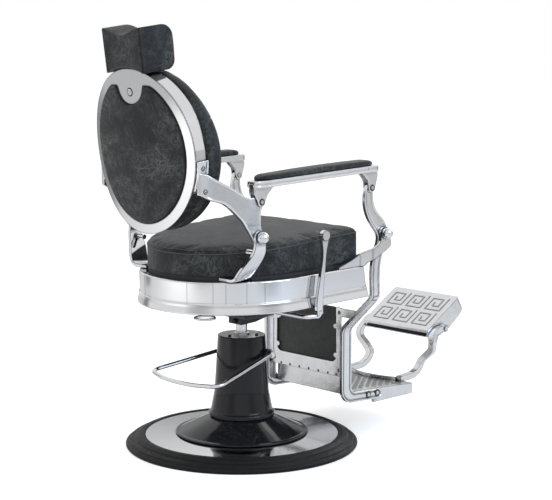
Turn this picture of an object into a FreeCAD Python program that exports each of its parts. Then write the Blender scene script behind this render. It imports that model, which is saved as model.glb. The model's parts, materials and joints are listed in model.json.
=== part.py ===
"""Hydraulic barber chair, built as its separate pieces.

Millimetres, Z up. The origin is on the floor, on the axis of the column.
The front of the chair looks along -Y and the sitter's right hand is at -X.
Each piece is written to parts/NAME.step.
"""
import FreeCAD, Part
import math
import os

# General clearances
MOVING_GAP = 0.6            # between faces that pass each other
RUNNING_FIT = 0.05          # radial, between a pin and its hole
SEAT_GAP = 0.3              # between soft pieces and what carries them

# Base
BASE_RADIUS = 350.0
RING_WIDTH = 58.0
RING_HEIGHT = 36.0
PLATE_TOP = 28.0
PLATE_HUB_RADIUS = 60.0
PLATE_RIM = 30.0
PLATE_WEB = 12.0
DISC_EDGE_Z = 33.8
DISC_TOP_Z = 37.0
FLANGE_RADIUS = 199.0
FLANGE_LIP = 8.0

# Column and hydraulic pump
COLUMN_TOP_Z = 335.0
COLUMN_TOP_RADIUS = 71.0
COLUMN_WAIST_RADIUS = 82.0
COLUMN_WAIST_Z = 165.0
COLUMN_FOOT_RADIUS = 100.0
COLUMN_FOOT_Z = 92.0
COLUMN_WALL = 3.0
ROD_RADIUS = 17.0
ROD_TOP_Z = 400.0
PISTON_RADIUS = 22.0
PISTON_HEIGHT = 18.0
PISTON_BOTTOM_Z = 62.0
CYLINDER_RADIUS = 30.0
CYLINDER_TOP_Z = 318.0
CYLINDER_FLOOR = 4.0
GLAND_RADIUS = 24.0
GLAND_TOP_Z = 341.0

# Pump pedal
PEDAL_PIVOT_Y = -42.0
PEDAL_PIVOT_Z = 279.0
PEDAL_EYE_X = 86.0
PEDAL_EYE_RADIUS = 11.0
PEDAL_EYE_WIDTH = 14.0
PEDAL_ROD_RADIUS = 6.2
PEDAL_CORNER_X = 152.0
PEDAL_REACH = 272.0
PEDAL_BOW = 28.0
PEDAL_DROP = 9.8            # degrees below level
PEDAL_SHAFT_RADIUS = 6.0
PEDAL_BOSS_RADIUS = 15.0

# Under the seat
HUB_WIDTH = 54.0
HUB_REAR_Y = 27.0
HUB_FRONT_Y = -120.0
HUB_BOTTOM_Z = 368.0
HUB_TOP_Z = 404.0
MOUNT_PLATE_THICKNESS = 8.0
MOUNT_PLATE_WIDTH = 240.0
MOUNT_PLATE_REAR_Y = 90.0
MOUNT_PLATE_FRONT_Y = -170.0
FRAME_LEG_X = 104.0
FRAME_LEG_THICKNESS = 6.0
FRAME_BAR_HEIGHT = 30.0
FRAME_BAR_WIDTH = 34.0
FRAME_REAR_BAR_Y = 165.0
FRAME_FRONT_BAR_Y = -205.0

# Seat
SEAT_TILT = 1.1             # degrees, front edge up
APRON_HALF_WIDTH = 281.0
APRON_ARC_Y = 28.0
APRON_FRONT_Y = -233.0
APRON_TOP_Z = 543.0
APRON_BOTTOM_Z = 450.0
APRON_WALL = 3.0
APRON_STEP_Z = 478.0
APRON_FLARE = 7.0
APRON_FLANGE = 26.0
APRON_BEND = 2.0             # inner radius under the flange
CUSHION_INSET = 17.0
CUSHION_FRONT_Y = -244.0
CUSHION_CROWN_RADIUS = 6000.0
CUSHION_TOP_Z = 663.0
CUSHION_HIGH_Y = -342.0
CUSHION_EDGE_RADIUS = 16.0
CUSHION_CORNER_RADIUS = 18.0
BOARD_THICKNESS = 10.0
BOARD_INSET = 8.0

# Side linkage, one on each side: four pivots in the plane of the lever
ARM_X = APRON_HALF_WIDTH + 9  # plane of the armrest and its pivots
BACK_PIVOT_X = ARM_X - 23.5    # plane of the casting's foot
LEVER_THICKNESS = 12.0
BACK_PIVOT = (183.0, 668.5)
ARM_REAR_PIVOT = (197.0, 770.0)
ARM_FRONT_PIVOT = (-245.0, 780.0)
LEVER_PIVOT = (-299.0, 642.0)
PIVOT_PIN_RADIUS = 8.0
ARM_PIN_RADIUS = 5.0
OPEN_PIVOT_CLEARANCE = 2.4
BRACKET_THICKNESS = 9.0
BRACKET_EYE_RADIUS = 19.0
BALL_RADIUS = 17.0
BALL_STAND = 9.0              # middle of the ball, out from the bracket
STOP_PEG = (184.0, 624.0)
STOP_PEG_RADIUS = 8.0
STOP_PEG_LENGTH = 38.0
LUG_THICKNESS = 4.5
LUG_RADIUS = 13.0

# Armrests
ARM_CHANNEL_WIDTH = 46.0
ARM_CHANNEL_DEPTH = 20.0
ARM_CHANNEL_WALL = 4.0
ARM_REAR = (226.0, 828.0)
ARM_FRONT = (-266.0, 848.0)
ARM_END_RADIUS = 19.0
PAD_WIDTH = 52.0
PAD_HEIGHT = 18.5
PAD_REAR_INSET = 20.0
PAD_FRONT_INSET = 22.0
# Share of the length, then of the width and of the height, from the rear tip to the front one
PAD_STATIONS = [(0.0, 0.5, 0.4), (0.02, 0.8, 0.6), (0.07, 1.0, 0.75), (0.35, 1.0, 0.85),
                (0.65, 1.0, 0.95), (0.85, 1.0, 1.0), (0.94, 1.0, 0.85), (0.985, 0.8, 0.6), (1.0, 0.5, 0.4)]

# Backrest, in its own upright frame before it is leaned back
BACK_LEAN = 7.6             # degrees
BACK_CENTRE_Y = 389.5
BACK_CENTRE_Z = 900.2
BACK_HALF_WIDTH = 213.6
BACK_HALF_HEIGHT = 232.6
BACK_WRAP = 27.6            # how far the sides come forward
RING_PLATE = 3.0
BAND_DEPTH = 44.0
BAND_WALL = 3.5
BAND_END = -112.0
OPENING_HALF_WIDTH = BACK_HALF_WIDTH - 28.6
OPENING_HALF_HEIGHT = BACK_HALF_HEIGHT - 26.6
OPENING_TOP = OPENING_HALF_HEIGHT - 20
TONGUE_RADIUS = 56.0
TONGUE_CENTRE = OPENING_TOP + 4
LOBE_RADIUS = 10.0
PANEL_CROWN = 7.0
BACK_CUSHION_FRONT = 100.0
BACK_CUSHION_LIFT = -4.0
BACK_CUSHION_HALF_WIDTH = BACK_HALF_WIDTH + 19.4
BACK_CUSHION_HALF_HEIGHT = BACK_HALF_HEIGHT + 4.4
BUTTON_RADIUS = 9.5
BUTTON_Z = OPENING_TOP - 18
POST_WIDTH = 32.0
POST_DEPTH = 8.0
POST_Y = -30.0
SOCKET_WALL = 4.0

# Headrest
HEADREST_HALF_WIDTH = 81.0
HEADREST_WAIST = 14.0
HEADREST_BOTTOM = BACK_HALF_HEIGHT - 10.6
HEADREST_TOP = HEADREST_BOTTOM + 121
HEADREST_REAR = 8.0
HEADREST_FRONT = -106.0

# Hanging legs, lower step and calf panel
LEG_WIDTH = 36.0
LEG_SET_BACK = 25.0          # middle of the leg behind its pivot
LEG_LOWER_WIDTH = 42.0
LEG_LOWER_X = 168.0
LEG_LOWER_Y = -277.0
LEG_JOG_TOP_Z = 450.0
LEG_JOG_BOTTOM_Z = 337.0
FOOT_END_Y = -443.0
FOOT_Z = 112.0
FOOT_HALF_HEIGHT = 16.0
FOOT_FALL = 7.0              # from the bend to the foot's end
BOLT_SET_BACKS = (69.0, 29.0)
BOLT_LIFT = 5.0
LEG_BEND = 34.0
STEP_TOP_Z = 135.0          # at its rear edge
STEP_FALL = 0.063           # slope of the top
STEP_HEIGHT = 32.0
STEP_WALL = 6.0
STEP_RAIL = 10.0
STEP_REAR_Y = -308.0
STEP_RAIL_Y = -412.0
STEP_FRONT_Y = -598.0
STEP_HALF_WIDTH = LEG_LOWER_X - LEVER_THICKNESS / 2
STEP_HOLLOW = 40.0
STEP_CORNER = 48.0
STEP_LIP = 11.0
STEP_LIP_WIDTH = 9.0
CALF_Y = -281.0
CALF_FRAME_THICKNESS = 8.0
CALF_BOTTOM_Z = 185.0
CALF_TOP_Z = 402.0
CALF_HALF_WIDTH = 151.0
CALF_TOP_HALF_WIDTH = 148.0
CALF_MEMBER = 18.0
CALF_RAIL = 43.0
CALF_PANEL_THICKNESS = 5.0
CALF_LUG_Z = 372.0
CALF_LUG_HEIGHT = 26.0
LUG_SET_BACK = 0.3
RISER_BOTTOM_Z = 122.0

# Upper footplate and its arms
PLATE_HALF_WIDTH = 141.0
PLATE_LENGTH = 185.0
PLATE_ANGLE = 31.0          # degrees, front edge up
PLATE_WALL = 5.0
PLATE_PIVOT = (-757.0, 274.0)
PLATE_PIVOT_IN = 58.0       # from the rear edge, along the plate
PLATE_PIVOT_DOWN = 33.0     # below the tread
PLATE_REAR_LIP = 27.0
PLATE_BELLY = 60.0
PLATE_ARM_WIDTH = 20.0      # across the chair
PLATE_ARM_DEPTH = 19.0
PLATE_ARM_SWELL = 9.0       # how far the arm bows out beside the plate
PLATE_CORNER = 14.0
PLATE_ARM_FOOT_X = 112.0
PLATE_ARM_FOOT = 14.0        # how much of the arm lies on the step
PLATE_PIN_RADIUS = 5.0
PLATE_BOSS_RADIUS = 12.0
MEANDER_COLUMNS = 3
MEANDER_ROWS = 2
MEANDER_HEIGHT = 1.6
MEANDER_LINE = 3.0
MEANDER_MARGIN = 15.0

# Recline lever and swivel lock
RECLINE_X = APRON_HALF_WIDTH + 19
RECLINE_PIVOT = (10.0, 424.0)
RECLINE_FOOT = (-29.0, 429.0)
RECLINE_SHAFT_RADIUS = 7.0
SWIVEL_RING_RADIUS = 29.0
SWIVEL_RING_CENTRE = (-116.0, 245.0, 430.0)
SWIVEL_ROD_RADIUS = 3.5
LOCK_PIN_REACH = 84.0
LOCK_PIN_RADIUS = 4.0
LOCK_EYE_HEIGHT = 10.0


def vec(x, y, z):
    return FreeCAD.Vector(x, y, z)


X_AXIS = vec(1, 0, 0)
Y_AXIS = vec(0, 1, 0)
Z_AXIS = vec(0, 0, 1)
ORIGIN = vec(0, 0, 0)


def rounded_path(points, radii, closed):
    """Edges through 3-D points, with each corner rounded by a tangent arc."""
    count = len(points)
    edges = []
    ends = []
    for i, point in enumerate(points):
        radius = radii[i]
        inner = closed or 0 < i < count - 1
        if radius <= 0 or not inner:
            ends.append((point, None, point))
            continue
        back = (points[i - 1] - point).normalize()
        ahead = (points[(i + 1) % count] - point).normalize()
        half = back.getAngle(ahead) / 2
        if half > 1.5707:
            ends.append((point, None, point))
            continue
        reach = radius / math.tan(half)
        middle = (back + ahead).normalize()
        centre = point + middle * (radius / math.sin(half))
        ends.append((point + back * reach, centre - middle * radius, point + ahead * reach))
    for i in range(count):
        start, mid, end = ends[i]
        if mid is not None:
            edges.append(Part.Arc(start, mid, end).toShape())
        if i < count - 1 or closed:
            following = ends[(i + 1) % count][0]
            if end.distanceToPoint(following) > 1e-6:
                edges.append(Part.LineSegment(end, following).toShape())
    return edges


def in_plane(plane, level, a, b):
    """A point given by its two coordinates in a plane square to one axis."""
    if plane == "yz":
        return vec(level, a, b)
    if plane == "xz":
        return vec(a, level, b)
    return vec(a, b, level)


def outline(points, plane, level):
    """A closed face from (a, b) or (a, b, corner radius) points."""
    places = [in_plane(plane, level, p[0], p[1]) for p in points]
    radii = [p[2] if len(p) > 2 else 0.0 for p in points]
    return Part.Face(Part.Wire(rounded_path(places, radii, True)))


def prism(points, plane, start, end):
    """An outline carried square to its plane from one level to another."""
    axis = {"yz": X_AXIS, "xz": Y_AXIS, "xy": Z_AXIS}[plane]
    return outline(points, plane, start).extrude(axis * (end - start))


def ribbon(points, half_widths, plane, start, end):
    """A bar seen in a plane: a smooth centre line with a width at each point."""
    line = Part.BSplineCurve()
    line.interpolate([in_plane(plane, 0, a, b) for a, b in points])
    normal = in_plane(plane, 1, 0, 0)
    sides = ([], [])
    for (a, b), half in zip(points, half_widths):
        place = in_plane(plane, 0, a, b)
        along = vec(*line.tangent(line.parameter(place))[0])
        across = along.cross(normal).normalize() * half
        sides[0].append(place + across)
        sides[1].append(place - across)
    left, right = Part.BSplineCurve(), Part.BSplineCurve()
    left.interpolate(sides[0])
    right.interpolate(sides[1])
    edges = [left.toShape(), Part.LineSegment(sides[0][-1], sides[1][-1]).toShape(),
             right.toShape(), Part.LineSegment(sides[1][0], sides[0][0]).toShape()]
    face = Part.Face(Part.Wire(Part.__sortEdges__(edges)))
    axis = {"yz": X_AXIS, "xz": Y_AXIS, "xy": Z_AXIS}[plane]
    return face.translated(axis * start).extrude(axis * (end - start))


def bar_outline(points, half):
    """Outline of a bar of constant thickness: straight stretches and round bends."""
    ahead = []
    for first, second in zip(points, points[1:]):
        run = math.hypot(second[0] - first[0], second[1] - first[1])
        ahead.append(((second[0] - first[0]) / run, (second[1] - first[1]) / run))
    sides = ([], [])
    for i, point in enumerate(points):
        ua, ub = ahead[max(i - 1, 0)]
        va, vb = ahead[min(i, len(ahead) - 1)]
        turn = ua * vb - ub * va
        share = half / (1 + ua * va + ub * vb)
        for side, sign in zip(sides, (1, -1)):
            radius = point[2] - sign * half if turn > 0 else point[2] + sign * half
            side.append((point[0] - sign * share * (ub + vb), point[1] + sign * share * (ua + va),
                         radius if abs(turn) > 1e-6 else 0.0))
    return sides[0] + list(reversed(sides[1]))


def bent_bar(points, half, plane, start, end):
    """A bent bar, from its middle line's (a, b, bend radius) points."""
    return prism(bar_outline(points, half), plane, start, end)


def turned(points):
    """A solid of revolution about Z from (radius, z) or (radius, z, corner radius)."""
    return outline(points, "xz", 0).revolve(ORIGIN, Z_AXIS, 360)


def rod_x(radius, y, z, start, end):
    return Part.makeCylinder(radius, end - start, vec(start, y, z), X_AXIS)


def mirrored(shape):
    return shape.mirror(ORIGIN, X_AXIS)


def pair(shape):
    """The same piece on both sides of the chair, as one group."""
    return Part.makeCompound([shape, mirrored(shape)])


def box(x0, x1, y0, y1, z0, z1):
    return Part.makeBox(x1 - x0, y1 - y0, z1 - z0, vec(x0, y0, z0))


def pipe(points, radii, radius):
    """A round bar along straight runs joined by tangent arcs."""
    edges = rounded_path(points, radii, False)
    path = Part.Wire(edges)
    along = (points[1] - points[0]).normalize()
    section = Part.Wire(Part.Circle(points[0], along, radius).toShape())
    return path.makePipeShell([section], True, True)


def softened(shape, radius, chosen):
    """Rounds the edges whose middle point passes a test."""
    edges = []
    for edge in shape.Edges:
        middle = edge.valueAt((edge.FirstParameter + edge.LastParameter) / 2)
        if chosen(edge, middle):
            edges.append(edge)
    return shape.makeFillet(radius, edges)


# Base

def base_ring():
    outer = BASE_RADIUS
    inner = BASE_RADIUS - RING_WIDTH
    return turned([
        (inner, 0), (outer - 4, 0, 3), (outer, 5, 3), (outer, 10, 3),
        (outer - 6, 15, 2), (outer - 10, 15.5, 2), (outer - 13, 21, 2), (outer - 28, 25, 2),
        (outer - 31, 30, 3), (outer - 44, RING_HEIGHT, 5), (inner + 2, RING_HEIGHT, 2),
        (inner, DISC_EDGE_Z - 2)])


def base_plate():
    edge = BASE_RADIUS - RING_WIDTH - SEAT_GAP
    plate = turned([(0, 0), (edge - 3, 0, 2), (edge, 5, 2), (edge, PLATE_TOP), (0, PLATE_TOP)])
    recess = turned([(PLATE_HUB_RADIUS, 0), (edge - PLATE_RIM, 0),
                     (edge - PLATE_RIM - 10, PLATE_TOP - PLATE_WEB, 4),
                     (PLATE_HUB_RADIUS + 20, PLATE_TOP - PLATE_WEB, 4)])
    return plate.cut(recess)


def base_disc():
    edge = BASE_RADIUS - RING_WIDTH - SEAT_GAP
    return turned([(0, PLATE_TOP), (edge, PLATE_TOP), (edge, DISC_EDGE_Z, 1.5),
                   (FLANGE_RADIUS + 2, DISC_TOP_Z, 40), (0, DISC_TOP_Z)])


def flange_profile(drop):
    """Cone of the flange, moved down by a wall thickness."""
    edge = FLANGE_RADIUS
    foot = COLUMN_FOOT_RADIUS
    return [(edge - 12, DISC_TOP_Z + FLANGE_LIP - drop), (foot + 44, COLUMN_FOOT_Z - 26 - drop, 160),
            (foot - 12, COLUMN_FOOT_Z - drop, 6)]


def column_flange():
    edge = FLANGE_RADIUS
    bore = CYLINDER_RADIUS + 20
    profile = [(edge - 8, DISC_TOP_Z), (edge, DISC_TOP_Z + 2, 2), (edge, DISC_TOP_Z + FLANGE_LIP - 2, 3),
               (edge - 8, DISC_TOP_Z + FLANGE_LIP, 3)]
    profile += flange_profile(0)
    profile += [(bore, COLUMN_FOOT_Z), (bore, COLUMN_FOOT_Z - 8)]
    profile += [(COLUMN_FOOT_RADIUS - 6, COLUMN_FOOT_Z - 10, 6), (edge - 14, DISC_TOP_Z + 3)]
    return turned(profile)


def column_outline(inset):
    """Side of the column cover, from its foot to its top."""
    foot = COLUMN_FOOT_RADIUS - inset
    return [(foot, COLUMN_FOOT_Z, 0), (foot, COLUMN_FOOT_Z + 9, 7),
            (foot - 7, COLUMN_FOOT_Z + 15, 12),
            (COLUMN_WAIST_RADIUS - inset, COLUMN_WAIST_Z, 110),
            (COLUMN_TOP_RADIUS - inset, COLUMN_TOP_Z - (inset if inset else 0), 3)]


def pedal_boss(radius, start, end):
    """A round boss on each side of the column, on the pedal's axis."""
    return pair(rod_x(radius, PEDAL_PIVOT_Y, PEDAL_PIVOT_Z, start, end))


def column_cover():
    outer = column_outline(0)
    inner = column_outline(COLUMN_WALL)
    hole = GLAND_RADIUS + 1
    profile = outer + [(hole, COLUMN_TOP_Z), (hole, COLUMN_TOP_Z - COLUMN_WALL)]
    profile += list(reversed(inner))
    shell = turned(profile)
    return shell.cut(pedal_boss(PEDAL_BOSS_RADIUS, 0, PEDAL_EYE_X))


def pump_cylinder():
    body = turned([(0, DISC_TOP_Z), (46, DISC_TOP_Z), (46, DISC_TOP_Z + 14, 3),
                   (CYLINDER_RADIUS, DISC_TOP_Z + 20, 3), (CYLINDER_RADIUS, CYLINDER_TOP_Z),
                   (0, CYLINDER_TOP_Z)])
    bore = Part.makeCylinder(PISTON_RADIUS + RUNNING_FIT, CYLINDER_TOP_Z,
                             vec(0, 0, DISC_TOP_Z + CYLINDER_FLOOR))
    return body.cut(bore)


def gland():
    outer = turned([(0, CYLINDER_TOP_Z), (CYLINDER_RADIUS, CYLINDER_TOP_Z),
                    (CYLINDER_RADIUS, COLUMN_TOP_Z - COLUMN_WALL - 2, 1),
                    (GLAND_RADIUS, COLUMN_TOP_Z - COLUMN_WALL - 2),
                    (GLAND_RADIUS, GLAND_TOP_Z, 2), (0, GLAND_TOP_Z)])
    bore = Part.makeCylinder(ROD_RADIUS + RUNNING_FIT, GLAND_TOP_Z, ORIGIN)
    return outer.cut(bore)


def cover_screws():
    """Socket screws that hold the column's top face down."""
    screw = turned([(0, COLUMN_TOP_Z), (5, COLUMN_TOP_Z), (5, COLUMN_TOP_Z + 4, 1),
                    (2.4, COLUMN_TOP_Z + 4), (2.4, COLUMN_TOP_Z + 1.5), (0, COLUMN_TOP_Z + 1.5)])
    ring = (COLUMN_TOP_RADIUS + GLAND_RADIUS) / 2
    screws = []
    for step in range(3):
        angle = math.radians(90 + 120 * step)
        screws.append(screw.translated(vec(ring * math.cos(angle), ring * math.sin(angle), 0)))
    return Part.makeCompound(screws)


def column_radius(z):
    """Radius of the straight part of the column cover."""
    share = (COLUMN_TOP_Z - z) / (COLUMN_TOP_Z - COLUMN_WAIST_Z)
    return COLUMN_TOP_RADIUS + share * (COLUMN_WAIST_RADIUS - COLUMN_TOP_RADIUS)


def pedal_bosses():
    start = math.sqrt((column_radius(PEDAL_PIVOT_Z) - 8) ** 2 - PEDAL_PIVOT_Y ** 2)
    end = PEDAL_EYE_X - PEDAL_EYE_WIDTH / 2 - MOVING_GAP
    boss = pedal_boss(PEDAL_BOSS_RADIUS, start, end)
    bore = rod_x(PEDAL_SHAFT_RADIUS + RUNNING_FIT, PEDAL_PIVOT_Y, PEDAL_PIVOT_Z, -end - 1, end + 1)
    return Part.makeCompound([solid.cut(bore) for solid in boss.Solids])


def pump_block():
    """Small pump in front of the cylinder, worked by the pedal shaft."""
    front = PEDAL_PIVOT_Y - 20
    top = PEDAL_PIVOT_Z - 26
    block = box(-20, 20, front, -CYLINDER_RADIUS, top - 70, top)
    plunger = Part.makeCylinder(6, 12, vec(0, PEDAL_PIVOT_Y, top))
    cylinder = Part.makeCylinder(CYLINDER_RADIUS, 400, ORIGIN)
    return block.fuse(plunger).cut(cylinder)


# Pump pedal

def pedal_path():
    """The bail's centre line, drawn flat and then dropped below level."""
    reach = PEDAL_REACH
    bow = PEDAL_BOW
    flat = [(PEDAL_EYE_X, 0, 0), (PEDAL_CORNER_X, reach, 30), (60, reach + bow, 240),
            (-60, reach + bow, 240), (-PEDAL_CORNER_X, reach, 30), (-PEDAL_EYE_X, 0, 0)]
    drop = math.radians(PEDAL_DROP)
    points = [vec(x, PEDAL_PIVOT_Y + b * math.cos(drop), PEDAL_PIVOT_Z - b * math.sin(drop))
              for x, b, _ in flat]
    return points, [radius for _, _, radius in flat]


def pump_pedal():
    points, radii = pedal_path()
    bail = pipe(points, radii, PEDAL_ROD_RADIUS)
    half = PEDAL_EYE_WIDTH / 2
    for side in (-1, 1):
        x = side * PEDAL_EYE_X
        bail = bail.fuse(rod_x(PEDAL_EYE_RADIUS, PEDAL_PIVOT_Y, PEDAL_PIVOT_Z, x - half, x + half))
    bore = rod_x(PEDAL_SHAFT_RADIUS, PEDAL_PIVOT_Y, PEDAL_PIVOT_Z, -200, 200)
    return bail.cut(bore)


def pedal_shaft():
    end = PEDAL_EYE_X + PEDAL_EYE_WIDTH / 2
    return rod_x(PEDAL_SHAFT_RADIUS, PEDAL_PIVOT_Y, PEDAL_PIVOT_Z, -end, end)


# Lift

def piston_rod():
    bottom = PISTON_BOTTOM_Z + PISTON_HEIGHT
    return turned([(0, bottom), (ROD_RADIUS, bottom), (ROD_RADIUS, ROD_TOP_Z, 2), (0, ROD_TOP_Z)])


def piston():
    return turned([(0, PISTON_BOTTOM_Z), (PISTON_RADIUS, PISTON_BOTTOM_Z, 1),
                   (PISTON_RADIUS, PISTON_BOTTOM_Z + PISTON_HEIGHT, 1),
                   (0, PISTON_BOTTOM_Z + PISTON_HEIGHT)])


# Seat

def tilted(shape):
    """Seat pieces lean back a little: the front edge is higher."""
    return shape.rotated(vec(0, 0, APRON_TOP_Z), X_AXIS, -SEAT_TILT)


def hub_block():
    half = HUB_WIDTH / 2
    side = prism([(HUB_REAR_Y, HUB_BOTTOM_Z, 3), (HUB_REAR_Y, HUB_TOP_Z), (HUB_FRONT_Y, HUB_TOP_Z),
                  (HUB_FRONT_Y, HUB_BOTTOM_Z + 22, 6), (-ROD_RADIUS - 16, HUB_BOTTOM_Z + 3, 20)],
                 "yz", -half, half)
    bore = Part.makeCylinder(ROD_RADIUS + RUNNING_FIT, ROD_TOP_Z + SEAT_GAP, ORIGIN)
    return side.cut(bore)


def hub_nut():
    """Clamp nut on the rear face of the hub."""
    middle = (HUB_BOTTOM_Z + HUB_TOP_Z) / 2 - 6
    corners = []
    for step in range(6):
        angle = math.radians(60 * step)
        corners.append((9 * math.cos(angle), middle + 9 * math.sin(angle)))
    nut = prism(corners, "xz", HUB_REAR_Y, HUB_REAR_Y + 7)
    return nut.fuse(Part.makeCylinder(4, 12, vec(0, HUB_REAR_Y, middle), Y_AXIS))


def mount_plate():
    half = MOUNT_PLATE_WIDTH / 2
    return prism([(-half, MOUNT_PLATE_FRONT_Y, 10), (half, MOUNT_PLATE_FRONT_Y, 10),
                  (half, MOUNT_PLATE_REAR_Y, 10), (-half, MOUNT_PLATE_REAR_Y, 10)],
                 "xy", HUB_TOP_Z, HUB_TOP_Z + MOUNT_PLATE_THICKNESS)


def horseshoe(half, front, bottom, top):
    """A solid with straight sides, a square front and a round rear."""
    round_end = Part.makeCylinder(half, top - bottom, vec(0, APRON_ARC_Y, bottom))
    body = box(-half, half, front, APRON_ARC_Y, bottom, top)
    rear = box(-half, half, APRON_ARC_Y, APRON_ARC_Y + half, bottom, top)
    return body.fuse(round_end.common(rear)).removeSplitter()


def seat_frame():
    top = APRON_TOP_Z - APRON_WALL
    inner = APRON_HALF_WIDTH - APRON_WALL - APRON_BEND - SEAT_GAP
    half = FRAME_BAR_WIDTH / 2
    bottom = top - FRAME_BAR_HEIGHT
    frame = None
    for y in (FRAME_REAR_BAR_Y, FRAME_FRONT_BAR_Y):
        reach = inner
        if y > APRON_ARC_Y:
            reach = math.sqrt(inner ** 2 - (y + half - APRON_ARC_Y) ** 2)
        bar = box(-reach, reach, y - half, y + half, bottom, top)
        frame = bar if frame is None else frame.fuse(bar)
    for side in (-1, 1):
        x = side * FRAME_LEG_X
        rail = box(x - half, x + half, FRAME_FRONT_BAR_Y, FRAME_REAR_BAR_Y, bottom, top)
        frame = frame.fuse(rail)
    frame = tilted(frame)
    floor = HUB_TOP_Z + MOUNT_PLATE_THICKNESS
    for side in (-1, 1):
        x = side * FRAME_LEG_X
        leg = prism([(MOUNT_PLATE_REAR_Y - 10, floor), (FRAME_REAR_BAR_Y - 30, bottom + 10),
                     (FRAME_FRONT_BAR_Y + 30, bottom + 10), (MOUNT_PLATE_FRONT_Y + 10, floor)],
                    "yz", x - FRAME_LEG_THICKNESS / 2, x + FRAME_LEG_THICKNESS / 2)
        frame = frame.fuse(leg)
    return frame.removeSplitter()


def apron_section():
    """Section of the apron wall: (distance from the outer face, z)."""
    wall = APRON_WALL
    flare = APRON_FLARE
    top = APRON_TOP_Z
    step = APRON_STEP_Z
    bottom = APRON_BOTTOM_Z
    return [(-APRON_FLANGE, top), (0, top, 5), (0, step + 4, 3), (flare * 0.5, step, 3),
            (flare * 0.55, step - 8, 4), (flare, bottom + 4, 2), (flare, bottom, 1),
            (flare - wall, bottom), (flare - wall, bottom + 4, 2), (flare * 0.55 - wall, step - 8, 4),
            (flare * 0.5 - wall, step - 1, 3), (-wall, step + 3, 3), (-wall, top - wall, APRON_BEND),
            (-APRON_FLANGE, top - wall)]


def seat_apron():
    section = [(APRON_HALF_WIDTH + p[0],) + tuple(p[1:]) for p in apron_section()]
    face = outline(section, "xz", APRON_ARC_Y)
    rear = face.revolve(vec(0, APRON_ARC_Y, 0), Z_AXIS, 180)
    side = face.extrude(Y_AXIS * (APRON_FRONT_Y - 20 - APRON_ARC_Y))
    slant = prism([(APRON_FRONT_Y, APRON_TOP_Z + 5), (APRON_FRONT_Y - 60, APRON_TOP_Z + 5),
                   (APRON_FRONT_Y - 60, APRON_BOTTOM_Z - 5), (APRON_FRONT_Y - 15, APRON_BOTTOM_Z - 5)],
                  "yz", -400, 400)
    shell = rear.fuse(side.cut(slant)).fuse(mirrored(side).cut(slant))
    front = box(-APRON_HALF_WIDTH + APRON_WALL, APRON_HALF_WIDTH - APRON_WALL,
                APRON_FRONT_Y + 2, APRON_FRONT_Y + 2 + APRON_WALL, APRON_STEP_Z + 20, APRON_TOP_Z)
    return tilted(shell.fuse(front).removeSplitter())


def rear_bracket():
    """Swan-neck bar from the seat's rim out and up to the back's pivot, left side."""
    y, z = BACK_PIVOT
    middle = BACK_PIVOT_X + LEVER_THICKNESS / 2 + MOVING_GAP + BRACKET_THICKNESS / 2
    half = BRACKET_THICKNESS / 2
    foot_z = APRON_TOP_Z + half - 3
    foot = APRON_HALF_WIDTH - 57
    bend = bent_bar([(middle, z + 30, 0), (middle, z - 38, 52), (foot, foot_z, 26), (foot - 62, foot_z, 0)],
                    half, "xz", y - 80, y + 80)
    eye = BRACKET_EYE_RADIUS
    side = ribbon([(y, z), (y, z - 30), (y + 3, z - 62), (y + 17, z - 100), (y + 19, z - 135)],
                  [eye - 1, eye + 1, eye + 6, eye + 9, eye + 7], "yz", 100, 400)
    side = side.fuse(rod_x(eye, y, z, 100, 400))
    bracket = bend.common(side)
    hole = rod_x(PIVOT_PIN_RADIUS, y, z, 100, 400)
    return bracket.cut(hole).removeSplitter()


def front_bracket():
    """Swan-neck plate from the side of the seat's rim to the lever's pivot, left side."""
    y, z = LEVER_PIVOT
    outer = ARM_X + LEVER_THICKNESS / 2 + MOVING_GAP + BRACKET_THICKNESS / 2
    foot = APRON_HALF_WIDTH - 7.5
    half = BRACKET_THICKNESS / 2
    rim = APRON_TOP_Z
    plan = bent_bar([(outer, y - 50, 0), (outer, y + 44, 24), (foot, y + 80, 24), (foot, y + 190, 0)],
                    half, "xy", 500, 700)
    side = prism([(y + 168, rim - 1), (y + 70, rim + 3, 8), (y + 58, rim + 18, 20), (y - 6, z - 52, 24),
                  (y - 30, z - 38, 14), (y - 19, z - 4), (y - 19, z), (y + 19, z),
                  (y + 14, z - 26, 20), (y + 48, z - 44, 60), (y + 108, z - 72, 120),
                  (y + 168, rim + 8, 6)], "yz", 200, 400)
    side = side.fuse(rod_x(BRACKET_EYE_RADIUS, y, z, 200, 400))
    bracket = plan.common(side)
    hole = rod_x(PIVOT_PIN_RADIUS, y, z, 100, 400)
    return bracket.cut(hole).removeSplitter()


def trimmed_bracket(shape):
    """The feet end on top of the tilted rim."""
    below = tilted(box(-400, 400, -400, 400, APRON_TOP_Z - 100, APRON_TOP_Z))
    return shape.cut(below)


def bracket_feet():
    """Space that the four feet take in the seat board."""
    feet = []
    for make in (rear_bracket, front_bracket):
        bound = make().BoundBox
        inner = bound.XMin - 1
        feet.append(box(inner, 400, bound.YMin - 1, bound.YMax + 1, 500, 580))
    feet.append(mirrored(feet[0]))
    feet.append(mirrored(feet[1]))
    return feet


def seat_board():
    half = APRON_HALF_WIDTH - CUSHION_INSET - BOARD_INSET
    board = horseshoe(half, CUSHION_FRONT_Y + 14, APRON_TOP_Z, APRON_TOP_Z + BOARD_THICKNESS)
    board = tilted(board)
    for foot in bracket_feet():
        board = board.cut(foot)
    return board


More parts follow.
